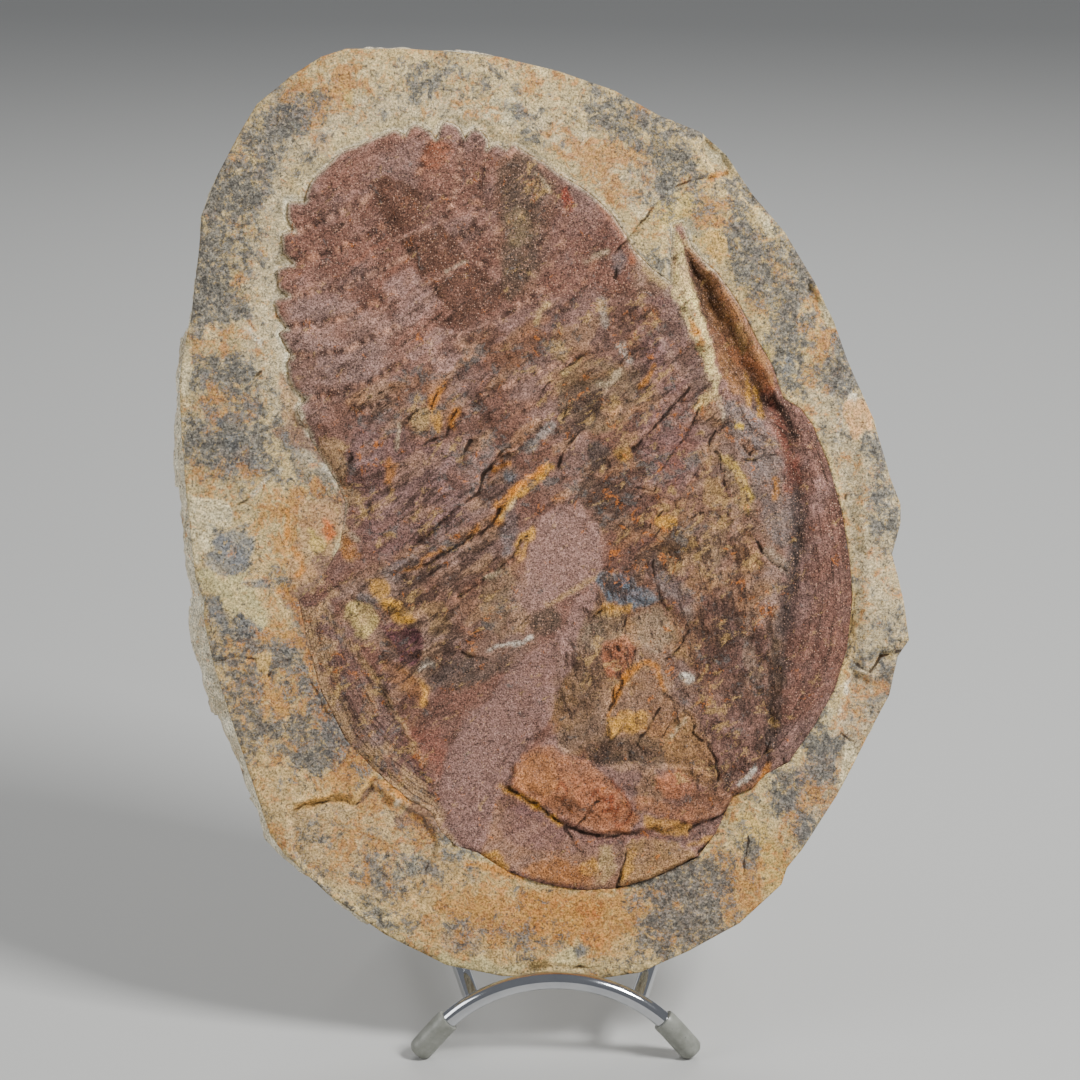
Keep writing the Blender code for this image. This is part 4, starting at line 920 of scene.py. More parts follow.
stonePatches = [
    ("shadow", 0.65, 3, "290,412 318,424 338,452 348,490 342,502 318,500 298,478 284,440"),
    ("brown", 0.8, 2.5, "300,498 345,500 344,530 330,566 308,598 286,594 290,560 296,530"),
    ("sun", 0.6, 3, "668,186 690,196 702,215 706,250 690,240 672,232 655,228 650,212"),
    ("shadow", 0.55, 2, "290,600 303,600 312,650 325,690 345,730 378,772 360,774 322,738 298,690"),
    ("shadow", 0.6, 3, "269,86 300,84 298,112 272,112"),
    ("greenGrey", 0.6, 2, "288,109 312,110 310,132 290,130"),
    ("sun", 0.6, 1.5, "341,86 353,85 352,108 343,108"),
    ("brown", 0.5, 3, "309,134 333,133 330,152 312,153"),
    ("pale", 0.7, 2, "480,100 518,98 520,122 500,126 482,118"),
    ("pale", 0.8, 1.2, "702,133 713,142 720,145 730,158 740,170 727,167 713,163 705,147"),
    ("pale", 0.8, 1.2, "755,206 768,214 776,236 768,236 758,222"),
    ("pale", 0.8, 1, "820,302 832,304 838,328 826,326"),
    ("shadow", 0.5, 2, "822,332 845,332 845,354 828,354"),
    ("slate", 0.85, 0.8, "787,352 795,362 798,375 785,378 782,368"),
    ("sand", 0.9, 1.2, "706,232 716,230 727,238 728,250 722,263 712,258 706,246"),
    ("slate", 0.55, 3, "682,216 704,216 702,240 686,238"),
    ("peach", 0.9, 1, "849,399 865,399 872,415 874,428 863,432 859,441 853,440 847,424 841,409"),
    ("white", 0.8, 0.8, "849,393 857,393 856,400 849,400"),
    ("cream", 0.95, 1, "185,494 208,500 229,500 233,514 231,528 217,529 210,538 212,546 203,555 "
     "199,562 192,559 189,519"),
    ("slate", 0.8, 1, "212,536 233,530 253,536 255,546 251,559 241,572 231,579 217,576 205,565 "
     "206,556 213,550"),
    ("green", 0.9, 1, "196,570 206,569 223,579 241,573 253,565 246,576 241,586 253,587 264,610 "
     "270,618 262,632 251,620 241,611 233,620 222,607 219,597 202,591"),
    ("slate", 0.75, 1, "203,596 216,597 220,610 229,614 231,632 223,635 217,624 208,614"),
    ("slate", 0.7, 1, "233,621 241,613 253,620 264,629 255,638 241,640"),
    ("slate", 0.7, 1, "241,583 253,579 270,579 272,589 251,588"),
    ("slate", 0.7, 1, "281,639 296,638 296,651 282,656"),
    ("shadow", 0.8, 1, "315,652 326,658 332,668 320,676 315,663"),
    ("orange", 0.8, 1, "277,590 296,587 296,594 276,595"),
    ("orange", 0.85, 1, "316,581 340,584 344,590 333,600 320,597"),
    ("orangeRed", 0.8, 1.2, "323,518 334,526 337,536 327,542 322,530"),
    ("orange", 0.8, 1, "284,508 290,508 290,548 284,546"),
    ("sun", 0.85, 1, "309,528 319,536 326,542 320,556 309,550"),
    ("cream", 0.8, 1, "334,541 344,543 350,555 347,565 339,570 333,559"),
    ("sand", 0.8, 1, "255,659 261,653 270,655 271,665 268,677 258,669"),
    ("orange", 0.7, 1.5, "235,447 249,446 248,466 236,467"),
    ("slate", 0.7, 1.2, "200,371 208,369 208,388 201,390"),
    ("slate", 0.7, 1.2, "205,414 224,413 223,428 206,429"),
    ("slate", 0.7, 1.2, "245,400 263,400 262,410 246,410"),
    ("slate", 0.7, 1.2, "224,434 238,433 239,450 226,451"),
    ("slate", 0.7, 1.2, "225,461 256,460 256,476 226,477"),
    ("brown", 0.7, 1.2, "281,372 290,378 298,397 298,415 308,431 303,441 290,438 281,415"),
    ("tanFace", 0.85, 1.5, "292,806 332,792 352,796 368,780 376,770 378,780 368,798 352,806 "
     "332,802 296,812"),
    ("orange", 0.85, 1.5, "369,778 385,780 400,786 415,794 431,808 434,811 421,818 415,814 "
     "400,803 385,788"),
    ("white", 0.6, 0.8, "394,799 401,799 400,808 394,807"),
    ("pale", 0.7, 2, "392,855 418,854 417,877 394,878"),
    ("mauve", 0.5, 4, "415,824 437,823 436,848 417,849"),
    ("orange", 0.6, 1.5, "364,858 370,858 370,888 364,886"),
    ("orange", 0.55, 2, "382,862 393,862 392,892 382,890"),
    ("olive", 0.8, 1.2, "432,961 445,951 461,961 483,955 501,968 528,961 520,971 495,977 465,972"),
    ("olive", 0.8, 1, "548,961 566,949 577,946 575,958 591,968 569,966"),
    ("slate", 0.8, 0.8, "574,948 581,943 588,949 585,957 576,958"),
    ("khaki", 0.8, 0.8, "528,968 531,961 545,960 549,963 548,968 538,970"),
    ("mauve", 0.5, 4, "441,930 480,928 478,950 442,951"),
    ("mauve", 0.5, 2.5, "461,924 520,923 518,935 464,935"),
    ("orangeRed", 0.75, 3, "580,902 603,901 602,926 582,926"),
    ("orangeRed", 0.6, 3, "581,934 605,932 604,948 583,948"),
    ("orange", 0.6, 6, "520,892 585,895 583,940 522,935"),
    ("slate", 0.5, 1.5, "466,868 480,868 480,883 468,882"),
    ("orange", 0.75, 1.5, "463,861 480,862 511,868 525,874 523,882 505,876 483,870 465,868"),
    ("slate", 0.5, 2, "744,861 759,861 758,880 745,880"),
    ("plum", 0.6, 3, "794,768 806,767 806,790 796,789"),
    ("cream", 0.9, 0.8, "844,744 861,743 853,764 839,792 837,788 841,772"),
    ("pale", 0.6, 2, "823,707 836,706 835,736 825,737"),
    ("sand", 0.6, 1.5, "847,592 857,591 856,660 848,670 840,690"),
    ("khaki", 0.6, 1.2, "878,652 895,650 894,659 879,661"),
    ("shadow", 0.6, 2, "881,665 894,663 890,696 880,698"),
    ("yellow", 0.6, 1.2, "758,343 766,345 777,368 778,388 770,386 764,364"),
    ("cream", 0.8, 1, "178,346 188,346 192,372 190,396 182,398 180,372")]

stoneStrokes = [
    ("white", 0.8, 0.7, "661,197 668,192 675,188"),
    ("orange", 0.8, 0.8, "711,177 720,174 728,171"),
    ("white", 0.7, 0.5, "278,130 288,137 293,144"),
    ("white", 0.6, 0.5, "325,134 331,130 337,125"),
    ("greyLine", 0.6, 0.7, "520,103 518,116 512,130"),
    ("white", 0.8, 0.5, "245,315 252,327 250,332 263,347"),
    ("white", 0.7, 0.5, "242,435 248,444 256,451 260,461"),
    ("white", 0.7, 0.6, "280,469 270,477 260,487 251,496"),
    ("white", 0.7, 0.6, "311,460 318,464 325,468"),
    ("white", 0.7, 0.5, "849,677 847,688 846,696"),
    ("white", 0.7, 0.6, "841,413 838,432"),
    ("orange", 0.8, 0.9, "296,603 303,604 305,615 308,635 312,649 309,670"),
    ("orange", 0.8, 0.8, "292,548 299,556 302,565 299,576"),
    ("orange", 0.8, 0.9, "318,706 323,717 335,723"),
    ("orange", 0.75, 0.9, "240,643 250,640 257,645"),
    ("orange", 0.7, 1.2, "458,930 463,937 464,945"),
    ("white", 0.6, 0.6, "406,806 418,815"),
    # pale lines along the tail's margin: pale cut stone and a painted highlight on the trench's
    # wall
    ("creamLine", 0.9, 0.7, "275,300 280,319 278,338 288,349 285,361 289,377 294,387 303,397 "
     "298,405 301,415 308,428 313,441 317,451 325,460 331,467"),
    ("creamLine", 0.8, 0.6, "285,199 285,220"),
    ("creamLine", 0.8, 0.6, "286,198 299,197"),
    ("shadow", 0.6, 1.2, "300,604 301,625 306,650")]

# cracks and ledges, cut into the relief and painted dark: partly real cracks and partly painted
# shadow under the ledges
stoneCracks = [
    (1.1, 0.5, "627,240 634,232 645,218 655,205 662,197"),
    (0.9, 0.45, "675,188 685,183 697,178 711,177 720,174 728,171"),
    (0.9, 0.6, "254,377 261,372"),
    (1, 0.5, "237,506 243,502 249,498"),
    (1.1, 0.5, "218,660 230,658 241,657 248,658 255,660 255,665 260,672 263,675"),
    (1, 0.5, "267,679 271,670 275,665 284,663 290,661"),
    (0.6, 0.4, "289,541 289,545"),
    (0.6, 0.4, "303,555 307,559"),
    (0.9, 0.5, "311,680 315,689 321,701 321,706 328,714 332,718"),
    (1.2, 0.5, "292,811 298,808 308,805 320,803 332,801 348,801 349,805 354,805 360,803 368,795 "
     "369,788 375,778"),
    (0.8, 0.5, "429,864 426,871 423,878"),
    (0.9, 0.4, "548,966 591,968"),
    (0.9, 0.7, "446,905 448,907"),
    (1, 0.5, "748,836 747,855 744,866 744,877"),
    (0.8, 0.5, "841,734 846,737 851,741"),
    (0.8, 0.4, "847,493 845,499"),
    (0.8, 0.4, "856,591 854,611 849,636 847,657"),
    (1, 0.6, "854,661 861,667 870,672 875,667 877,661 880,657 889,655 899,653 909,647"),
    (0.7, 0.5, "237,640 242,641")]


def layered(ragged, layers):
    height = np.zeros(len(ragged))
    for rise, width, outline in layers.values():
        height += rise * smooth(depthIn(ragged, placesOf(outline), width + 1) / width)
    return height


def raggedPlaces(p, amount, seed, size=6):
    # the points moved a little, so that edges drawn with them come out broken
    shift = np.stack([rough(p, size, seed), rough(p, size, seed + 20)], axis=1)
    return p + amount * shift


def stoneSwell(p):
    u, v = p[:, 0], p[:, 1]
    return 0.8 * np.sin(u / 31 + 0.6) * np.cos(v / 44) + 0.5 * np.sin(u / 13 - v / 19)


def tailMoat(p):
    # the cut channel round the tail, fading out down the sides
    dist, _ = lineField(p, fossilOutline, 16, closed=True)
    return dist, smooth((p[:, 1] - 12 - 0.25 * p[:, 0]) / 45)


def crackField(p, cracks, seed):
    # cut depth of the cracks, less the lift of the plate above each, and how near their broken
    # lines are: over 0.5 inside one. That nearness is painted dark, partly as painted shadow under
    # the plate edges and ledges
    cut = np.zeros(len(p))
    lift = np.zeros(len(p))
    near = np.zeros(len(p))
    ragged = raggedPlaces(p, 0.5, seed, 3)
    for depth, width, line in cracks:
        ends = onFace(line)
        dist, along = lineField(ragged, ends, 9.0)
        swell = noise(np.stack([along, along * 0], axis=1), 2.4, seed + 3)
        wide = 0.8 * width * (0.62 + 0.5 * swell)
        cut = np.maximum(cut, depth * np.exp(-(dist / np.maximum(wide, 0.5)) ** 2) * (dist < 9))
        near = np.maximum(near, 0.5 + (wide - dist) / 4)
        (au, av), (bu, bv) = ends[0], ends[-1]
        nu, nv = av - bv, bu - au
        flip = 1 if nv > 0 or (nv == 0 and nu < 0) else -1
        side = flip * ((ragged[:, 0] - au) * nu + (ragged[:, 1] - av) * nv) > 0
        lift = np.maximum(lift, 0.55 * depth * np.exp(-dist / 3.2) * (dist < 9) * side)
    return cut - lift, near


def terraces(p, size, seed, sharp=5.0, turn=0, stretch=1):
    # thin layers broken back one behind the other
    level = rough(p, size, seed, 4, turn, stretch) * 2.6
    whole = np.floor(level)
    return whole + smooth((level - whole) * sharp - sharp / 2 + 0.5)


# Heights and widths of the stone's own relief, in mm
stoneRelief = {"rimDrop": 1.6, "rimWidth": 5, "moat": 0.9, "moatWidth": 5, "cutWidth": 10,
               "layers": 0.26, "coarse": 0.16, "fine": 0.13, "scores": 0.05}


def stoneHeight(p, cracks):
    relief = stoneRelief
    ragged = raggedPlaces(p, 0.9, 60)
    edge = np.exp(-np.maximum(depthIn(p, slabOutline), 0) / relief["rimWidth"])
    dist, fade = tailMoat(p)
    height = stoneSwell(p) - relief["rimDrop"] * edge
    height -= relief["moat"] * np.exp(-(dist / relief["moatWidth"]) ** 2) * fade
    height += layered(ragged, stoneLayers)
    height -= cracks
    # the rough skin of the shale, smoother where it was cut back
    skin = (relief["layers"] * terraces(p, 15, 5) + relief["coarse"] * rough(p, 3.4, 9)
            + relief["fine"] * rough(p, 1.6, 15, 2))
    cut = np.exp(-(dist / relief["cutWidth"]) ** 4) * fade
    return height + skin * (1 - 0.4 * cut) + relief["scores"] * cut * noise(p, 1.2, 30, 70, 4)


# where fossil and stone were never cut apart
uncutRims = {
    "lowLeft": "270,425 345,425 375,520 345,600 410,750 460,840 400,860 290,740 255,600",
    "spine": "640,190 700,190 725,330 730,390 690,390 650,300"}


def uncutShares(p):
    return [patch(p, onFace(rim), 5.0) for rim in uncutRims.values()]


# The body's broad form, in mm: its vault, and how it rises from the stone at the rim
fossilForm = {"vault": 3.4, "halfWidth": 44, "halfLength": 105, "vaultEdge": 8, "rise": 0.3,
              "rim": 0.9, "uncutRim": 0.1, "rimWidth": 2.2, "seamWidth": 3}


def fossilHeight(p, cracks):
    form = fossilForm
    u, v = p[:, 0], p[:, 1]
    along = (u - v) / math.sqrt(2)
    across = (u + v + 12) / math.sqrt(2)
    ragged = raggedPlaces(p, 0.8, 80)
    vault = form["vault"] * np.exp(-(across / form["halfWidth"]) ** 2)
    vault *= np.exp(-((along - 4) / form["halfLength"]) ** 4)
    # the rim keeps level with the stone where the two were never cut apart
    inward = depthIn(p, fossilOutline, 12)
    uncut = np.maximum(*uncutShares(p))
    rim = form["rim"] - (form["rim"] - form["uncutRim"]) * uncut
    height = form["rise"] * (1 - uncut) + rim * smooth(inward / form["rimWidth"])
    height += vault * smooth(inward / form["vaultEdge"])
    height += stoneSwell(p) * np.exp(-inward / 6) * np.maximum(uncut, 1 - smooth(p[:, 1] / 60))
    height += layered(ragged, fossilLayers)
    seam = uncut * smooth(1 - inward / form["seamWidth"])
    height += (stoneHeight(p, 0) - height) * seam
    for depth, width, line in furrows:
        height -= depth * groove(ragged, line, width)
    depth, width, line = cheekValley
    height -= depth * groove(ragged, line, width)
    rise, width, line = orangeRidge
    height += rise * groove(ragged, line, width)
    return height - cracks


class Canvas:
    # screen colours over the points of a lattice
    def __init__(self, p, base, seed):
        self.p = p
        self.ragged = raggedPlaces(p, 0.9, seed, 5)
        self.fine = raggedPlaces(p, 0.5, seed + 5, 2.5)
        self.frayed = rough(p, 2.0, seed + 9, 3)
        self.wear = np.clip(0.9 + 0.3 * rough(p, 3.1, seed + 12, 3), 0.3, 1.1)
        self.tone = np.tile(screen(base), (len(p), 1))

    def lay(self, mask, tone):
        self.tone += np.clip(mask, 0, 1)[:, None] * (screen(tone) - self.tone)

    def shade(self, amount):
        self.tone *= (1 + amount)[:, None]

    def broken(self, mask, edge):
        # a soft mask given a crisp, frayed edge
        return smooth((mask + 0.32 * self.frayed * (mask > 0) - 0.5) / edge + 0.5)

    def region(self, tones, zones):
        for tone, strength, soft, outline in zones:
            mask = patch(self.ragged, onFace(outline), soft * 2 * mmPerStep)
            self.lay(strength * self.broken(mask, 0.7), tones[tone])

    def patches(self, tones, marks):
        for tone, strength, soft, outline in marks:
            mask = patch(self.fine, onFace(outline), 1.2 + soft)
            self.lay(strength * self.wear * self.broken(mask, 0.2 + 0.08 * soft), tones[tone])

    def strokes(self, tones, marks):
        for tone, strength, width, line in marks:
            mask = groove(self.fine, onFace(line), width * 1.3)
            self.lay(strength * self.wear * self.broken(mask, 0.45), tones[tone])

    def finished(self, richness=1.14):
        # as linear light, a little richer in colour to stand up to the studio's haze
        grey = self.tone.mean(axis=1, keepdims=True)
        tone = linear(grey + richness * (self.tone - grey))
        return np.column_stack([tone, np.ones(len(self.p))])


def shareOf(p, marks):
    share = np.zeros(len(p))
    for amount, soft, outline in marks:
        share = np.maximum(share, amount * patch(p, onFace(outline), soft))
    return share


fossilTones = {
    "tailLow": "92756a", "duskTone": "785a4f", "oliveTone": "70594a", "thoraxTone": "765a4e",
    "thoraxLeft": "81665b", "thoraxLow": "7c6254", "rightSide": "846a59", "headOlive": "977658",
    "headMid": "a07e5c", "headPlum": "6c554b", "cheekTone": "72564d", "leftCheekTone": "866e60",
    "brokenTone": "937663", "plateLow": "9c7860", "rust": "96573b", "umber": "573e33",
    "brown": "785640", "pale": "a8887e", "oliveDark": "51443a", "olive": "7d6c52",
    "sand": "bba36c", "dusk": "6a4a40", "red": "8a4a3c", "slate": "6a6768", "mauve": "7e6262",
    "peach": "c99a70", "amber": "c89648", "slateDark": "443e3a", "tan": "b0905f",
    "maroon": "6c443c", "orange": "ba7a38", "blue": "5e6b76", "greyTan": "948470",
    "plumDark": "5c4440", "cream": "d2c09c", "maroonDeep": "5f3f42", "orangeBrown": "9c6838",
    "brick": "8f5848", "bandUp": "98796f", "bandLow": "8f7168", "rustBrown": "9c6046",
    "plate": "7f6352", "headTan": "8c6a4a", "mauveDark": "6f544a", "redPlate": "9f6d4f",
    "orangeTan": "b07a50", "brickRed": "a0694c", "plateRust": "a06a3e", "subPlate": "8a6e4e",
    "fibre": "8c6644", "creamStripAndHighlight": "cdb883", "grooveShadow": "453429", "rustLine": "94604c",
    "pinkLine": "c49a86", "creamLine": "dccfae", "grey": "a29a92", "white": "d0c8b8",
    "yellow": "dcb648", "goldLine": "c89038", "oliveLine": "c0a04a", "rustDark": "64301f",
    "redStreak": "7c4638", "blackShadowLine": "241a15"}

fossilGrid = {"step": 0.67, "skirt": 7.5}

# How much of each kind of vein shows on each part of the fossil, and how far that drifts
veinShares = {
    "dark": {"plain": (0.10, 0), "broken": (0.20, 0.26), "head": (0.24, 0.22),
             "striped": (0.14, 0), "leftCheek": (0.16, 0)},
    "tan": {"plain": (0.02, 0), "broken": (0.08, 0.26), "head": (0.03, 0.24),
            "striped": (0.06, 0), "olive": (0.14, 0), "leftCheek": (0.16, 0)},
    "rust": {"plain": (0.02, 0), "broken": (0.04, 0.20), "head": (0.04, 0.14),
             "plates": (0.08, 0), "fibres": (0.10, 0), "leftCheek": (0.10, 0)},
    "slate": {"plain": (0.02, 0), "broken": (0.08, 0.26), "wholeHead": (0.04, 0),
              "olive": (0.10, 0), "leftCheek": (0.20, 0)}}

# The relief of the fossil's skin: the zone it lies in, the field it follows, its height in mm
fossilRelief = [
    ("shattered", "chip", 0.26), ("shattered", "fine", 0.20), ("shattered", "streak", 0.34),
    ("shattered", "layers", 0.42), ("shattered", "seam", -0.22), ("calm", "block", 0.07),
    ("calm", "joint", -0.10), ("head", "plate", 0.20), ("head", "headLayers", 0.40),
    ("head", "combed", 0.20), ("plates", "swell", 0.34), ("plates", "fine", 0.12),
    ("striped", "striae", 0.14), ("striped", "wideStriae", 0.20), ("offBand", "lumps", 0.14),
    ("everywhere", "grit", 0.09)]


def fossilZones(p):
    # how much of each kind of skin there is at every point
    ragged = raggedPlaces(p, 1.6, 110)
    zone = {name: patch(ragged, onFace(outline), 4.0) for name, outline in grainZones.items()}
    zone["everywhere"] = np.ones(len(p))
    zone["offBand"] = 1 - zone["band"]
    zone["shattered"] *= zone["offBand"]
    zone["striped"] = np.maximum(zone["cheek"],
                                 np.maximum(0.8 * zone["leftCheek"], 0.9 * zone["fibres"]))
    zone["calm"] = (1 - zone["shattered"]) * zone["offBand"] * smooth((p[:, 1] + 10) / 20)
    return zone


def fossilFields(p):
    # broken flakes along the ribs, blocks on the tail, plates on the head, striae on the cheeks
    field = {}
    field["chip"], rim = flakes(raggedPlaces(p, 1.2, 130), 4.2, 3, 33, 2.4)
    field["seam"] = np.exp(-(rim / 0.10) ** 2)
    field["fine"], _ = flakes(raggedPlaces(p, 0.7, 140), 2.2, 4, 38, 1.8)
    field["streak"] = rough(p, 5, 150, 4, 33, 3.0)
    field["layers"] = terraces(raggedPlaces(p, 0.8, 155), 13, 156, turn=30, stretch=1.6)
    field["block"], joint = flakes(raggedPlaces(p, 0.8, 160), 6.0, 6, 28, 1.2)
    field["joint"] = np.exp(-(joint / 0.06) ** 2)
    field["plate"], _ = flakes(raggedPlaces(p, 1.6, 170), 8.0, 8, -30, 1.5)
    field["headLayers"] = terraces(raggedPlaces(p, 0.8, 175), 12, 176, turn=-35, stretch=1.4)
    field["combed"] = rough(p, 3.4, 185, 3, 98, 5.0)
    field["swell"] = rough(p, 11, 190, 4)
    field["inward"], field["around"] = lineField(p, fossilOutline, 24, closed=True)
    run = np.stack([field["around"], field["inward"]], axis=1)
    field["striae"] = noise(run, 1.3, 200, 0, 30)
    field["wideStriae"] = noise(run, 2.8, 210, 0, 20)
    field["lumps"] = rough(p, 2.6, 220, 3)
    field["grit"] = rough(p, 1.5, 230, 2)
    return field


def fossilPaint(p, zone, field, hollowShading, broadShading):
    # the skin's colours as linear light
    offBand, shatter, inward = zone["offBand"], zone["shattered"], field["inward"]
    canvas = Canvas(p, "7a5b50", 240)
    canvas.region(fossilTones, bodyZones)
    canvas.shade(0.07 * rough(p, 14, 250, 3) + 0.09 * rough(canvas.fine, 4, 255, 4))
    canvas.shade(zone["calm"] * (0.13 * field["block"] - 0.12 * field["joint"]))
    hue = rough(canvas.fine, 9, 258, 4, 33, 1.8)
    canvas.lay(offBand * smooth(hue * 3 - 0.3) * 0.35, "6a473a")
    canvas.lay(offBand * smooth(-hue * 3 - 0.3) * 0.30, "8a7672")
    canvas.shade(zone["band"] * 0.08 * rough(canvas.fine, 6, 259, 4))
    canvas.lay(shatter * smooth((field["chip"] - 0.35) * 4) * 0.35, "a07c54")
    canvas.lay(shatter * smooth((-0.45 - field["chip"]) * 4) * 0.35, "57413a")
    canvas.lay(zone["head"] * smooth((field["plate"] - 0.4) * 4) * 0.3, "a67f4e")
    canvas.lay(zone["head"] * smooth((-0.4 - field["plate"]) * 4) * 0.35, "624a3c")
    # rows of pale and dark grains along the joints between the ribs
    for k, (_, _, line) in enumerate(furrows):
        dist, along = lineField(canvas.fine, line, 4.0)
        bead = noise(np.stack([along, along * 0 + k], axis=1), 1.1, 260)
        row = np.exp(-((dist - 0.3) / 0.8) ** 2) * (dist < 4) * offBand
        canvas.lay(row * smooth(bead * 3) * 0.9, "b8866c" if k % 2 else "c4967e")
        canvas.lay(row * smooth(-bead * 3) * 0.9, "402e28")
    canvas.patches(fossilTones, fossilPatches)
    canvas.strokes(fossilTones, fossilStrokes)
    # where fossil and stone were never cut apart, the colours run over the rim
    lowLeft, spine = uncutShares(p)
    wander = 1.5 + 2.6 * rough(p, 6, 290, 4) - inward
    wander += lowLeft * (2 + 7 * rough(p, 9, 291, 5))
    canvas.lay(lowLeft * smooth(wander / 0.7) * 0.85, "a98a68")
    canvas.lay(spine * smooth(wander / 0.7) * 0.85, "c0a274")
    # stone still clings to the rim of the tail on the left and above, painted pale together with a
    # painted highlight on the rim's wall
    rimShare = smooth((p[:, 1] - 0.6 * p[:, 0] - 30) / 30)
    canvas.lay(np.exp(-(inward / 0.7) ** 2) * rimShare * canvas.wear, "dccdb0")
    canvas.shade(zone["striped"] * (0.12 * field["striae"] + 0.10 * field["wideStriae"]))
    # painted shade in the hollows and painted highlight on the rises, from the height less its blur
    canvas.shade(0.30 * np.clip(hollowShading, -1, 0.6) + 0.06 * np.clip(broadShading, -1.2, 1.2))
    return canvas.finished()


def fossilMasks(p, zone, crackAndShadowNear):
    # masks for the cracks with their painted shadow, the sparkle and the run of the streaks, and
    # one for each kind of vein
    head, shatter, striped = zone["head"], zone["shattered"], zone["striped"]
    sparkle = 0.55 + 0.35 * zone["calm"] + 0.45 * zone["band"] + 0.3 * zone["cheek"] - 0.3 * shatter
    grain = np.column_stack([crackAndShadowNear, sparkle, head * (1 - striped), striped])
    parts = {**zone, "wholeHead": head, "head": head * (1 - zone["plates"]),
             "plain": 1 - np.maximum.reduce([shatter, head, zone["plates"], striped]),
             "broken": shatter * (1 - 0.6 * head)}
    wandering = raggedPlaces(p, 0.9, 240, 5)
    veins = []
    for k, shares in enumerate(veinShares.values()):
        drift = rough(wandering, 12, 280 + k, 3, 33, 1.8)
        veins.append(sum(parts[part] * (even + drifting * drift)
                         for part, (even, drifting) in shares.items()))
    return grain, np.column_stack(veins) * (1 - 0.95 * zone["band"])[:, None]


def makeFossil():
    lattice = Lattice(fossilOutline, fossilGrid["step"])
    p = lattice.points
    cracks, crackAndShadowNear = crackField(p, bodyCracks, 120)
    zone, field = fossilZones(p), fossilFields(p)
    height = fossilHeight(p, cracks)
    for where, what, rise in fossilRelief:
        height += rise * zone[where] * field[what]
    # the height less its blur, for painted shade in the hollows and painted highlight on the rises
    hollowShading = height - lattice.blurred(height, 3.0)
    broadShading = height - lattice.blurred(height, 11.0)
    paint = fossilPaint(p, zone, field, hollowShading, broadShading)
    grain, veins = fossilMasks(p, zone, crackAndShadowNear)
    streakPath = np.stack([field["around"], field["inward"], np.zeros(len(p))], axis=1) * mm

    bm = bmesh.new()
    ring = bm.verts.layers.int.new("ring")
    _, edge, _ = cutGrid(bm, fossilOutline, fossilGrid["step"])
    skirt = extrudedRing(bm, edge, ring, 1)
    foot = extrudedRing(bm, skirt, ring, 2)
    bmesh.ops.triangle_fill(bm, edges=edgesAmong(foot), use_beauty=False)
    bm.verts.index_update()
    flat = vertPlaces(bm)
    rings = np.array([v[ring] for v in bm.verts])
    w = lattice.sampled(height, flat)[:, 0]
    w = np.where(rings == 1, w - 1.0, np.where(rings == 2, -fossilGrid["skirt"], w))
    places = np.column_stack([flat, w])
    piece = stoneMesh("trilobiteFossil", bm, places,
                      {"paint": lattice.sampled(paint, flat), "grain": lattice.sampled(grain, flat),
                       "veins": lattice.sampled(veins, flat)},
                      {"streakPath": lattice.sampled(streakPath, flat)})
    piece.data.materials.append(fossilFinish())
    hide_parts("trilobite")
    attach(piece, "root")
    print("fossil:", len(piece.data.polygons), "faces")
    return piece


# widths of the sparkles in mm, and how strong the dark pepper is
sparkles = {"small": 0.66, "large": 1.15, "pepper": 0.55}


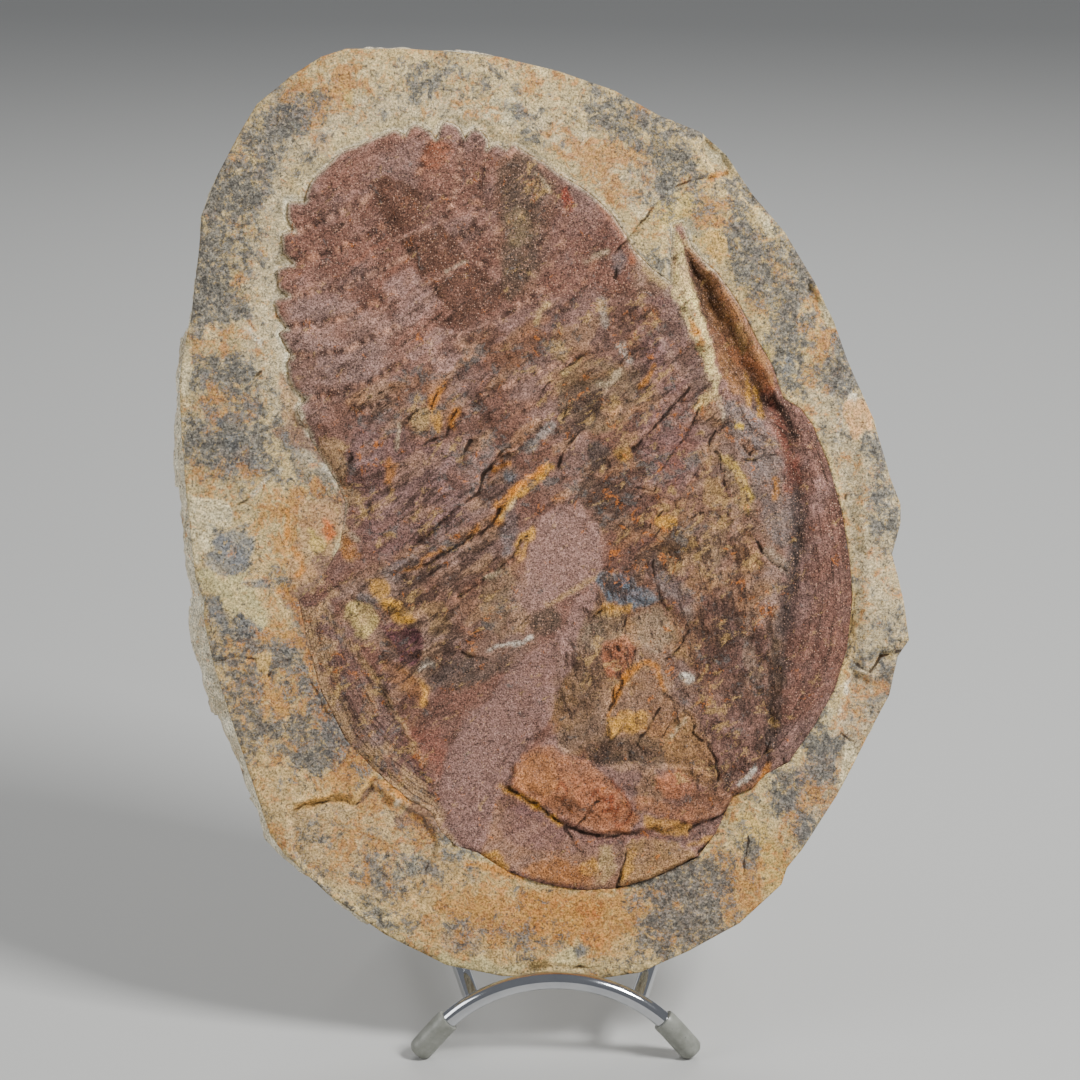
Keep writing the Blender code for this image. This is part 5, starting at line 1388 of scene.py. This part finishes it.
def fossilFinish():
    paint = Paint("fossilPlum")
    crackAndShadow, sparkle, head, striped = paint.masks("grain")
    darkShare, tanShare, rustShare, slateShare = paint.masks("veins")
    skin = paint.attribute("paint")["Color"]
    fine = paint.noise(1.6, 5, 0.68)
    grit = paint.noise(0.60, 3, 0.75)
    # broken streaks that run with the ribs, down the head and round the cheeks
    ribs = paint.noise(3.4, 8, 0.72, 0.3, paint.combed(-36, (0.30, 1.1, 1)))
    combed = paint.noise(2.8, 8, 0.72, 0.3, paint.combed(-100, (0.26, 1.1, 1)))
    path = paint.mapped(paint.attribute("streakPath")["Vector"], scale=(0.06, 1.0, 1.0))
    curved = paint.noise(1.5, 6, 0.7, 0.0, path)
    streak = paint.blend(striped, paint.blend(head, ribs, combed), curved)
    cloud = paint.noise(5.0, 9, 0.76, 0.6)
    other = paint.mapped(paint.combed(-36, (0.6, 1, 1)), shift=(0.3, 0.1, 0))
    other = paint.noise(4.4, 9, 0.74, 0.4, other)
    for share, field, low, high, strength, tone in (
            (darkShare, streak, 0.585, 0.665, 0.78, "3d2e27"),
            (slateShare, paint.calc("SUBTRACT", 1.0, cloud), 0.60, 0.65, 0.70, "5f5b57"),
            (tanShare, other, 0.60, 0.67, 0.75, "b08c58"),
            (rustShare, cloud, 0.615, 0.67, 0.80, "b4682c")):
        skin = paint.veined(skin, share, field, low, high, strength, colour(tone))
    skin = paint.shaded(skin, grit, 0.35, 0.65, 0.20, 1.92)
    skin = paint.shaded(skin, fine, 0.3, 0.7, 0.62, 1.40)
    # pink sparkles and dark pepper
    near, (red, green, _) = paint.cells(sparkles["small"])
    nearWide, (_, _, blue) = paint.cells(sparkles["large"])
    for pick, low, high, most, dot, edge, middle, amount, tone in (
            (red, 0.55, 0.95, 1.0, near, 0.42, 0.22, sparkle, "d8ac94"),
            (blue, 0.72, 0.95, 0.8, nearWide, 0.34, 0.18, sparkle, "cf9b7c"),
            (green, 0.66, 0.74, 1.0, near, 0.50, 0.28, sparkles["pepper"], "3a2a24")):
        grain = paint.calc("MULTIPLY", paint.span(pick, low, high, 0, most),
                          paint.span(dot, edge, middle))
        skin = paint.mix(paint.calc("MULTIPLY", grain, amount), skin, colour(tone))
    # dark cracks, partly painted shadow under the raised plate edges
    skin = paint.crackedAndShadowed(skin, crackAndShadow, fine, 0.42, 0.50, 0.88, colour("241913"))
    normal = paint.bump(grit, 0.8, 0.35)
    normal = paint.bump(fine, 0.9, 0.6, normal)
    normal = paint.bump(streak, 0.6, 1.4, normal)
    return paint.finish(skin, paint.span(grit, 0.3, 0.7, 0.6, 0.9), normal, dullSheen)


slabGrid = {"step": 0.66, "backStep": 3.0, "backInset": 4.0, "thickness": 27.0,
            "seatFloor": 8.2, "seatRing": -1, "backRing": 100,
            "edgeRings": [0.7, 1.8, 3.4, 5.4, 8.0, 11.0, 14.5, 18.0, 21.5, 24.5, 26.4]}
# where the wall leans out or in towards the back: u, v, reach and rise in mm
edgeFlares = [(-118, -58, 62, 6.5), (-124, 30, 60, 3.0), (0, -160, 70, -5.5), (60, 150, 70, -4.0),
              (128, 20, 60, -3.0)]
# Heights of the relief on the wall and the back, in mm
wallRelief = {"sway": 2.0, "facets": 1.0, "coarse": 0.9, "scores": 0.45, "backLip": 1.2,
              "backSwell": 0.9, "backRough": 0.25, "back": 0.8, "backRim": 0.4, "drop": 1.2}
wallTones = {"low": "b8aa8d", "high": "e2d9c0"}
stoneTones = {
    "topTone": "c6b48c", "leftTone": "b8a680", "cutTone": "c6b592", "lowLeftTone": "c4a87a",
    "scarTone": "bca27a", "bottomTone": "c4a472", "facetTone": "c3a86e", "rightTone": "c0aa7c",
    "panelTone": "baaa8a", "lowRightTone": "aa9a80", "shadow": "706a64", "greenGrey": "8e8c76",
    "sun": "cfb46c", "brown": "a58060", "pale": "c8bd9c", "slate": "72757a", "sand": "c09c60",
    "peach": "d2a678", "white": "e4dcc8", "cream": "d2c4a0", "orange": "c08040", "green": "bfb286",
    "orangeRed": "b8653a", "tanFace": "c69c60", "mauve": "8c7c76", "olive": "bbae84",
    "khaki": "6a5a3c", "plum": "8a7470", "yellow": "b09c58", "greyLine": "8c857a",
    "creamLine": "e2d8ba"}


def outwardOf(p, outline):
    # the outline's outward direction at its nearest stretch, softened over corners
    step = 2.0
    here = depthIn(p, outline, 60)
    du = depthIn(p + (step, 0), outline, 60) - here
    dv = depthIn(p + (0, step), outline, 60) - here
    out = -np.stack([du, dv], axis=1)
    return out / np.maximum(np.hypot(*out.T), 1e-6)[:, None]


def slabPaint(p, crackAndShadowNear, hollowShading):
    # the face's colours, and its masks for cracks with their painted shadow, slate, orange and
    # grain
    dist, arc = lineField(p, fossilOutline, 24, closed=True)
    fade = tailMoat(p)[1]
    cut = np.exp(-(dist / 5.5) ** 4) * fade * (1 - 0.8 * smooth((p[:, 0] - 5) / 30))
    # a thin pale band round the tail's rim on the left and above: pale cut stone and a painted
    # highlight on the trench's wall
    paleRimAndHighlight = np.exp(-((dist - 0.7) / 0.5) ** 2) * smooth((p[:, 1] - 0.6 * p[:, 0] - 40) / 30)

    canvas = Canvas(p, "c0ab80", 330)
    canvas.region(stoneTones, stoneZones)
    canvas.shade(0.05 * rough(p, 16, 340, 3) + 0.05 * rough(canvas.fine, 4, 345, 4))
    brushed = noise(np.stack([arc, dist], axis=1), 1.0, 346, 0, 7)
    canvas.lay((0.35 + 0.35 * brushed) * cut, "bdb090")
    canvas.lay(cut * smooth(-brushed * 3 - 0.6) * 0.5, "8f8873")
    canvas.shade(0.10 * cut * brushed)
    canvas.patches(stoneTones, stonePatches)
    # the thin pale band round the rim: pale cut stone with a painted highlight
    canvas.lay(0.85 * paleRimAndHighlight * canvas.wear, "e2d6bd")
    canvas.strokes(stoneTones, stoneStrokes)
    wander = 3.0 + 8.0 * rough(p, 9, 347, 5) - dist
    canvas.lay(uncutShares(p)[0] * smooth(wander / 0.7) * 0.85, "7c6456")
    # painted shade in the hollows and painted highlight on the rises, from the height less its blur
    canvas.shade(0.25 * np.clip(hollowShading, -1, 0.5))
    held = 1 - shareOf(canvas.ragged, [(1.0, 1.5, outline) for _, strength, _, outline
                                      in stonePatches if strength >= 0.8])
    clear = held * (1 - 0.6 * cut)
    slate = shareOf(canvas.ragged, slateShares)
    orange = shareOf(canvas.ragged, orangeShares)
    drift = rough(p, 13, 350, 4)
    grain = np.column_stack([crackAndShadowNear, (0.20 + 0.74 * slate + 0.30 * drift) * clear,
                             (0.26 + 0.7 * orange - 0.2 * drift) * clear, 1 - 0.2 * cut])
    return canvas.finished(), grain


def drawnInward(outline, distance):
    corners = np.array(outline, float)
    # a hair off the corners, since on the outline itself no direction leads out
    return corners - outwardOf(corners + 0.001, outline) * distance


def cutSlab(bm, ring):
    # the face with the fossil's seat sunk in it, the wall in rings below its rim, and the back
    _, outer, inner = cutGrid(bm, slabOutline, slabGrid["step"], fossilOutline)
    loop = outer
    for number in range(len(slabGrid["edgeRings"])):
        loop = extrudedRing(bm, loop, ring, number + 1)
    floor = extrudedRing(bm, inner, ring, slabGrid["seatRing"])
    bmesh.ops.triangle_fill(bm, edges=edgesAmong(floor), use_beauty=False)
    inset = [tuple(q) for q in drawnInward(slabOutline, slabGrid["backInset"])]
    back, backEdge, _ = cutGrid(bm, inset, slabGrid["backStep"])
    for v in back:
        v[ring] = slabGrid["backRing"]
    bmesh.ops.triangle_fill(bm, edges=edgesAmong(loop) + edgesAmong(backEdge), use_beauty=False)
    bm.verts.index_update()


def sidePlaces(q, w, rings, wall):
    # the wall broken into facets and chips down to the back, from places straight below the rim
    relief, thickness = wallRelief, slabGrid["thickness"]
    depth, onBack = wall[:, 1], rings == slabGrid["backRing"]
    t = depth / thickness
    flare = sum(rise * np.exp(-((q[:, 0] - u) ** 2 + (q[:, 1] - v) ** 2) / reach ** 2)
                for u, v, reach, rise in edgeFlares)
    sway = np.stack([noise(wall, 9, 401), noise(wall, 9, 402)], axis=1)
    facet, _ = flakes(wall + relief["sway"] * sway, 15, 12, 20, 1.4)
    chips = (relief["facets"] * facet + relief["coarse"] * rough(wall, 11, 410, 4)
             + relief["scores"] * noise(wall, 1.5, 420, 0, 9))
    push = flare * (1 - (1 - t) ** 2.2) + chips * np.clip(depth / 3.0, 0, 1) * ~onBack
    push -= relief["backLip"] * np.maximum(0, t - 0.85) / 0.15
    push *= np.where(onBack, smooth(1 - depthIn(q, slabOutline, 40) / 26), 1.0)
    backSkin = relief["backSwell"] * rough(q, 26, 430, 4)
    backSkin += relief["backRough"] * rough(q, 7, 440, 3)
    # the wall starts below the rim, also where the rim is chipped
    falling = np.minimum(-depth - relief["drop"] * (1 - t), w - 0.7 * rings)
    down = np.where(onBack, -thickness + backSkin * relief["back"],
                    np.maximum(falling, -thickness))
    last = rings == len(slabGrid["edgeRings"])
    down[last] += relief["backRim"] * noise(wall[last], 8, 450)
    return np.column_stack([q + outwardOf(q, slabOutline) * push[:, None], down])


def sidePaint(q, wall, onBack):
    # pale broken stone, the back stained with slate where it is dark and orange where pale
    broken = np.where(onBack, 1.3 * rough(q, 34, 461, 6), rough(wall, 9, 460, 4))
    broken = 0.5 + 0.5 * np.clip(broken, -1, 1)
    low, high = screen(wallTones["low"]), screen(wallTones["high"])
    grain = np.column_stack([np.zeros(len(q)), 0.12 + onBack * (0.42 - 0.45 * broken),
                             0.12 + 0.3 * onBack * broken, np.ones(len(q))])
    return linear(low + broken[:, None] * (high - low)), grain


def makeSlab():
    lattice = Lattice(slabOutline, slabGrid["step"])
    cracks, crackAndShadowNear = crackField(lattice.points, stoneCracks, 320)
    height = stoneHeight(lattice.points, cracks)
    # the height less its blur, for painted shade in the hollows and painted highlight on the rises
    hollowShading = height - lattice.blurred(height, 3.0)
    paint, grain = slabPaint(lattice.points, crackAndShadowNear, hollowShading)

    bm = bmesh.new()
    ring = bm.verts.layers.int.new("ring")
    cutSlab(bm, ring)
    flat = vertPlaces(bm)
    rings = np.array([v[ring] for v in bm.verts])
    w = lattice.sampled(height, flat)[:, 0]
    w = np.where(rings == slabGrid["seatRing"], -slabGrid["seatFloor"], w)
    places = np.column_stack([flat, w])
    paint, grain = lattice.sampled(paint, flat), lattice.sampled(grain, flat)

    side = rings > 0
    below, q = rings[side], flat[side]
    depths = np.array([0] + slabGrid["edgeRings"] + [slabGrid["thickness"]])
    depth = depths[np.minimum(below, len(depths) - 1)]
    wall = np.stack([lineField(q, slabOutline, 30, closed=True)[1], depth], axis=1)
    places[side] = sidePlaces(q, w[side], below, wall)
    paint[side, :3], grain[side] = sidePaint(q, wall, below == slabGrid["backRing"])
    piece = stoneMesh("stoneSlab", bm, places, {"paint": paint, "grain": grain})
    piece.data.materials.append(stoneFinish())
    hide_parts("slab")
    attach(piece, "root")
    print("slab:", len(piece.data.polygons), "faces")
    return piece


def stoneFinish():
    paint = Paint("matrixStone")
    crackAndShadow, slate, orange, grainy = paint.masks("grain")
    skin = paint.attribute("paint")["Color"]
    small = paint.noise(2.4, 6, 0.7)
    fine = paint.noise(0.75, 4, 0.75)
    skin = paint.shaded(skin, small, 0.3, 0.7, 0.70, 1.38)
    # yellow and amber stains, then slate-blue specks, each taking its share of the skin
    frayed = paint.calc("MULTIPLY_ADD", fine, 0.30, -0.15)
    stain = paint.calc("ADD", frayed, paint.noise(4.8, 9, 0.76, 0.5))
    tint = paint.mix(paint.span(small, 0.42, 0.6), colour("c08c48"), colour("a5683a"))
    skin = paint.veined(skin, orange, stain, 0.60, 0.68, 0.8, tint)
    blotch = paint.noise(4.8, 12, 0.79, 0.6, paint.mapped(paint.place, shift=(0.2, 0.4, 0)))
    blue = paint.calc("MULTIPLY_ADD", slate, 0.26, paint.calc("ADD", frayed, blotch))
    tint = paint.mix(paint.span(small, 0.38, 0.62), colour("43454a"), colour("85837c"))
    skin = paint.mix(paint.span(blue, 0.615, 0.645, 0, 0.85), skin, tint)
    # small dark and ochre dots over everything
    specks = paint.noise(1.7, 6, 0.72, 0.3, paint.mapped(paint.place, shift=(0.5, 0.1, 0)))
    dots = paint.calc("MULTIPLY_ADD", slate, 0.10, specks)
    skin = paint.mix(paint.span(dots, 0.59, 0.63, 0, 0.8), skin, colour("57544f"))
    skin = paint.mix(paint.span(specks, 0.42, 0.38, 0, 0.8), skin, colour("bd9f66"))
    skin = paint.shaded(skin, fine, 0.36, 0.64, 0.34, 1.74)
    pits = paint.calc("MULTIPLY", paint.span(fine, 0.40, 0.30), grainy)
    skin = paint.mix(paint.calc("MULTIPLY", pits, 0.6), skin, colour("4c4034"))
    # dark cracks, partly painted shadow under the ledges
    skin = paint.crackedAndShadowed(skin, crackAndShadow, small, 0.44, 0.51, 0.85, colour("33261d"))
    normal = paint.bump(fine, 0.6, 0.4)
    normal = paint.bump(small, 0.6, 0.9, normal)
    return paint.finish(skin, 0.9, normal, dullSheen)


stand = {"centreU": 6.0, "rodRadius": 3.175, "rodSides": 28, "rodShort": 3.4,
         "archRadius": 55.7, "archSweepDeg": 51.0, "apexZ": 30.0, "lipGap": 1.0,
         "rearReach": 140.0, "rearApexZ": 152.0, "rearTopRadius": 44.0, "rearSweepDeg": 84.0,
         "rearFootHalf": 52.0, "ankleInset": 1.0, "ankleZ": 12.0, "backGap": 1.3,
         "railZ": 21.0, "railFrontHalf": 29.5, "railFrontY": 1.0, "railInset": 1.4,
         "archSteps": 24, "rearSteps": 27}
cap = {"radius": 4.4, "length": 17.0, "sides": 40, "tipLength": 2.6, "tipShare": 0.72,
       "mouthDepth": 3.0, "mouthLip": 0.3, "lipShare": 0.965, "boreShare": 1.02, "sink": 0.45}


def standPoint(x, y, z):
    return Vector((stand["centreU"] + x, frontY + y, z)) * mm


def lipOffset():
    lean = math.radians(leaning["leanDeg"])
    drop = leaning["faceCentre"][2] - stand["apexZ"]
    clear = stand["rodRadius"] + stand["lipGap"]
    along = (drop + clear * math.sin(lean)) / math.cos(lean)
    return along * math.sin(lean) + clear * math.cos(lean)


frontY = leaning["faceCentre"][1] - lipOffset()


def rearApexY():
    lean = math.radians(leaning["leanDeg"])
    rise = leaning["faceCentre"][2] - stand["rearApexZ"]
    out = slabGrid["thickness"] + stand["backGap"] + stand["rodRadius"]
    along = (rise - out * math.sin(lean)) / math.cos(lean)
    return lipOffset() - along * math.sin(lean) + out * math.cos(lean)


def rearLegY(z):
    # how far back the rear arch is at a height
    apexY = rearApexY()
    return apexY + (stand["rearReach"] - apexY) * (1 - z / stand["rearApexZ"])


def toFloor(points):
    # run the last straight on until the cap's rim is a little below the floor
    along = (points[-1] - points[-2]).normalized()
    rimDrop = cap["radius"] * cap["tipShare"] * mm * math.sqrt(1 - along.z ** 2)
    fall = points[-1].z - rimDrop + cap["sink"] * mm
    return points + [points[-1] + along * (fall / -along.z)]


def frontHalf(side):
    sweep = math.radians(stand["archSweepDeg"])
    radius, steps = stand["archRadius"], stand["archSteps"]
    turns = [sweep * i / steps for i in range(steps + 1)]
    return toFloor([standPoint(side * radius * math.sin(a), 0,
                               stand["apexZ"] - radius * (1 - math.cos(a))) for a in turns])


def rearHalf(side):
    radius, steps = stand["rearTopRadius"], stand["rearSteps"]
    shoulder = stand["rearApexZ"] - radius
    turns = [math.radians(stand["rearSweepDeg"]) * i / steps for i in range(steps + 1)]
    flat = [(radius * math.sin(a), shoulder + radius * math.cos(a)) for a in turns]
    flat.append((stand["rearFootHalf"] - stand["ankleInset"], stand["ankleZ"]))
    return toFloor([standPoint(side * x, rearLegY(z), z) for x, z in flat])


def insideCap(path):
    # the rod's end stops short of the cap's tip
    back = (path[-2] - path[-1]).normalized() * stand["rodShort"] * mm
    return path[:-1] + [path[-1] + back]


def backAlong(path, length):
    # the last stretch of a path, of a given length, with points every millimetre or so
    kept = [path[-1]]
    left = length
    for a, b in zip(path[-2::-1], path[:0:-1]):
        run = (a - b).length
        take = min(run, left)
        steps = max(1, round(take / (1.2 * mm)))
        kept += [b + (a - b) * (take / run * (k + 1) / steps) for k in range(steps)]
        left -= take
        if left <= 1e-9:
            break
    return kept[::-1]


def sweptTube(bm, path, radii, sides):
    # a round section carried along a path by extruding its ring of edges
    ring = bmesh.ops.create_circle(bm, cap_ends=True, radius=1.0, segments=sides)["verts"]
    edges = list(dict.fromkeys(e for v in ring for e in v.link_edges))
    last = None
    for k, (point, radius) in enumerate(zip(path, radii)):
        before, after = path[max(k - 1, 0)], path[min(k + 1, len(path) - 1)]
        way = (after - before).normalized()
        side = way.cross(Vector((0, 1, 0.3))).normalized()
        place = Matrix((side, way.cross(side), way)).transposed().to_4x4()
        place.translation = point
        if k:
            made = bmesh.ops.extrude_edge_only(bm, edges=edges)["geom"]
            ring = [g for g in made if isinstance(g, bmesh.types.BMVert)]
            edges = [g for g in made if isinstance(g, bmesh.types.BMEdge) and g.is_boundary
                     and all(v in set(ring) for v in g.verts)]
            bmesh.ops.transform(bm, matrix=place @ scaled(radius) @ last.inverted(), verts=ring)
        else:
            bmesh.ops.transform(bm, matrix=place @ scaled(radius), verts=ring)
        last = place @ scaled(radius)
    return edges


def scaled(radius):
    return Matrix.Diagonal((radius, radius, radius, 1))


def metalPiece(name, bm, material, nodes):
    bmesh.ops.remove_doubles(bm, verts=bm.verts, dist=1e-6)
    bmesh.ops.recalc_face_normals(bm, faces=bm.faces)
    mesh = bpy.data.meshes.new(name)
    bm.to_mesh(mesh)
    bm.free()
    mesh.materials.append(material)
    mesh.shade_smooth()
    mesh.set_sharp_from_angle(angle=math.radians(45))
    piece = placed(name, mesh)
    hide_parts(*nodes)
    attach(piece, "root")
    return piece


def closeEnd(bm, edges):
    bmesh.ops.holes_fill(bm, edges=edges, sides=0)


def makeRod(name, path, node, material):
    bm = bmesh.new()
    closeEnd(bm, sweptTube(bm, path, [stand["rodRadius"] * mm] * len(path), stand["rodSides"]))
    return metalPiece(name, bm, material, [node])


def makeCap(name, path, node, material):
    # sleeve from its mouth to a rounded tip worn flat on the floor, with the mouth turned in
    body = backAlong(path, cap["length"] * mm)
    radii = []
    total = sum((b - a).length for a, b in zip(body, body[1:]))
    run = 0.0
    for k, point in enumerate(body):
        run += (point - body[k - 1]).length if k else 0.0
        left = min(1, (total - run) / mm / cap["tipLength"])
        rounding = math.sqrt(max(0, 1 - (1 - left) ** 2))
        taper = cap["tipShare"] + (1 - cap["tipShare"]) * rounding
        lip = cap["lipShare"] if run < cap["mouthLip"] * mm else 1.0
        radii.append(cap["radius"] * mm * taper * lip)
    mouth = body[0] + (body[1] - body[0]).normalized() * cap["mouthDepth"] * mm
    bore = stand["rodRadius"] * cap["boreShare"] * mm
    bm = bmesh.new()
    closeEnd(bm, sweptTube(bm, [mouth, body[0]] + body, [bore, bore] + radii, cap["sides"]))
    for v in bm.verts:
        v.co.z = max(v.co.z, 0.0)
    return metalPiece(name, bm, material, [node])


def chromeFinish():
    paint = Paint("brightChrome")
    smudge = paint.noise(9, 4, 0.6)
    grain = paint.noise(0.9, 3, 0.6)
    tone = paint.mix(paint.span(smudge, 0.4, 0.7), (0.60, 0.61, 0.63, 1), (0.52, 0.53, 0.56, 1))
    return paint.finish(tone, paint.span(smudge, 0.35, 0.7, 0.05, 0.16),
                        paint.bump(grain, 0.02, 0.1), {"Metallic": 1.0})


def vinylFinish():
    paint = Paint("greyVinyl")
    cloud = paint.noise(5, 4, 0.6)
    speck = paint.noise(0.9, 3, 0.75)
    tone = paint.mix(paint.span(cloud, 0.35, 0.65), colour("8f9088"), colour("77786f"))
    tone = paint.mix(paint.span(speck, 0.36, 0.28, 0, 0.8), tone, colour("3c3c38"))
    return paint.finish(tone, paint.span(cloud, 0.3, 0.7, 0.3, 0.45), paint.bump(speck, 0.1, 0.3))


def makeStand():
    chrome, vinyl = chromeFinish(), vinylFinish()
    for name, half in (("front", frontHalf), ("rear", rearHalf)):
        left, right = half(-1), half(1)
        makeRod(name + "Arch", insideCap(left)[:0:-1] + insideCap(right), name + "_arch", chrome)
        makeCap(name + "LeftCap", left, name + "_left_cap", vinyl)
        makeCap(name + "RightCap", right, name + "_right_cap", vinyl)
    rearY = rearLegY(stand["railZ"])
    for name, side in (("left", -1), ("right", 1)):
        rearHalfWidth = stand["rearFootHalf"] - stand["railInset"]
        ends = [standPoint(side * stand["railFrontHalf"], stand["railFrontY"], stand["railZ"]),
                standPoint(side * rearHalfWidth, rearY, stand["railZ"])]
        makeRod(name + "Rail", ends, name + "_rail", chrome)
    print("stand made")


studio = {"floorColour": "b9b9b6", "floorHalf": 4.0, "floorDrop": 0.0002,
          "skyColour": (0.86, 0.89, 0.95, 1), "sky": 0.24, "aim": (0.0, 0.0, 0.18)}
# place, size and power of each light, in metres and watts
lights = {"keyLight": ((0.95, -0.6, 1.25), (0.42, 0.42), 36),
          "fillLight": ((-1.25, -0.5, 0.7), (0.8, 0.8), 9),
          "backLight": ((0.1, 1.2, 1.0), (0.9, 0.6), 9)}


def softBox(name, place, size, power):
    data = bpy.data.lights.new(name, "AREA")
    data.shape = "RECTANGLE"
    data.size, data.size_y = size
    data.energy = power
    light = placed(name, data)
    light.location = place
    towards = Vector(studio["aim"]) - Vector(place)
    light.rotation_euler = towards.to_track_quat("-Z", "Y").to_euler()


def makeStudio():
    bm = bmesh.new()
    bmesh.ops.create_grid(bm, x_segments=4, y_segments=4, size=studio["floorHalf"])
    mesh = bpy.data.meshes.new("floor")
    bm.to_mesh(mesh)
    bm.free()
    material = bpy.data.materials.new("paleFloor")
    material.use_nodes = True
    shader = material.node_tree.nodes["Principled BSDF"]
    shader.inputs["Base Color"].default_value = colour(studio["floorColour"])
    shader.inputs["Roughness"].default_value = 0.6
    mesh.materials.append(material)
    floor = placed("floor", mesh)
    floor.location.z = -studio["floorDrop"]
    world = bpy.data.worlds.new("studio")
    world.use_nodes = True
    world.node_tree.nodes["Background"].inputs[0].default_value = studio["skyColour"]
    world.node_tree.nodes["Background"].inputs[1].default_value = studio["sky"]
    bpy.context.scene.world = world
    for name, (place, size, power) in lights.items():
        softBox(name, place, size, power)


makeCamera()
makeSlab()
makeFossil()
makeStand()
makeStudio()
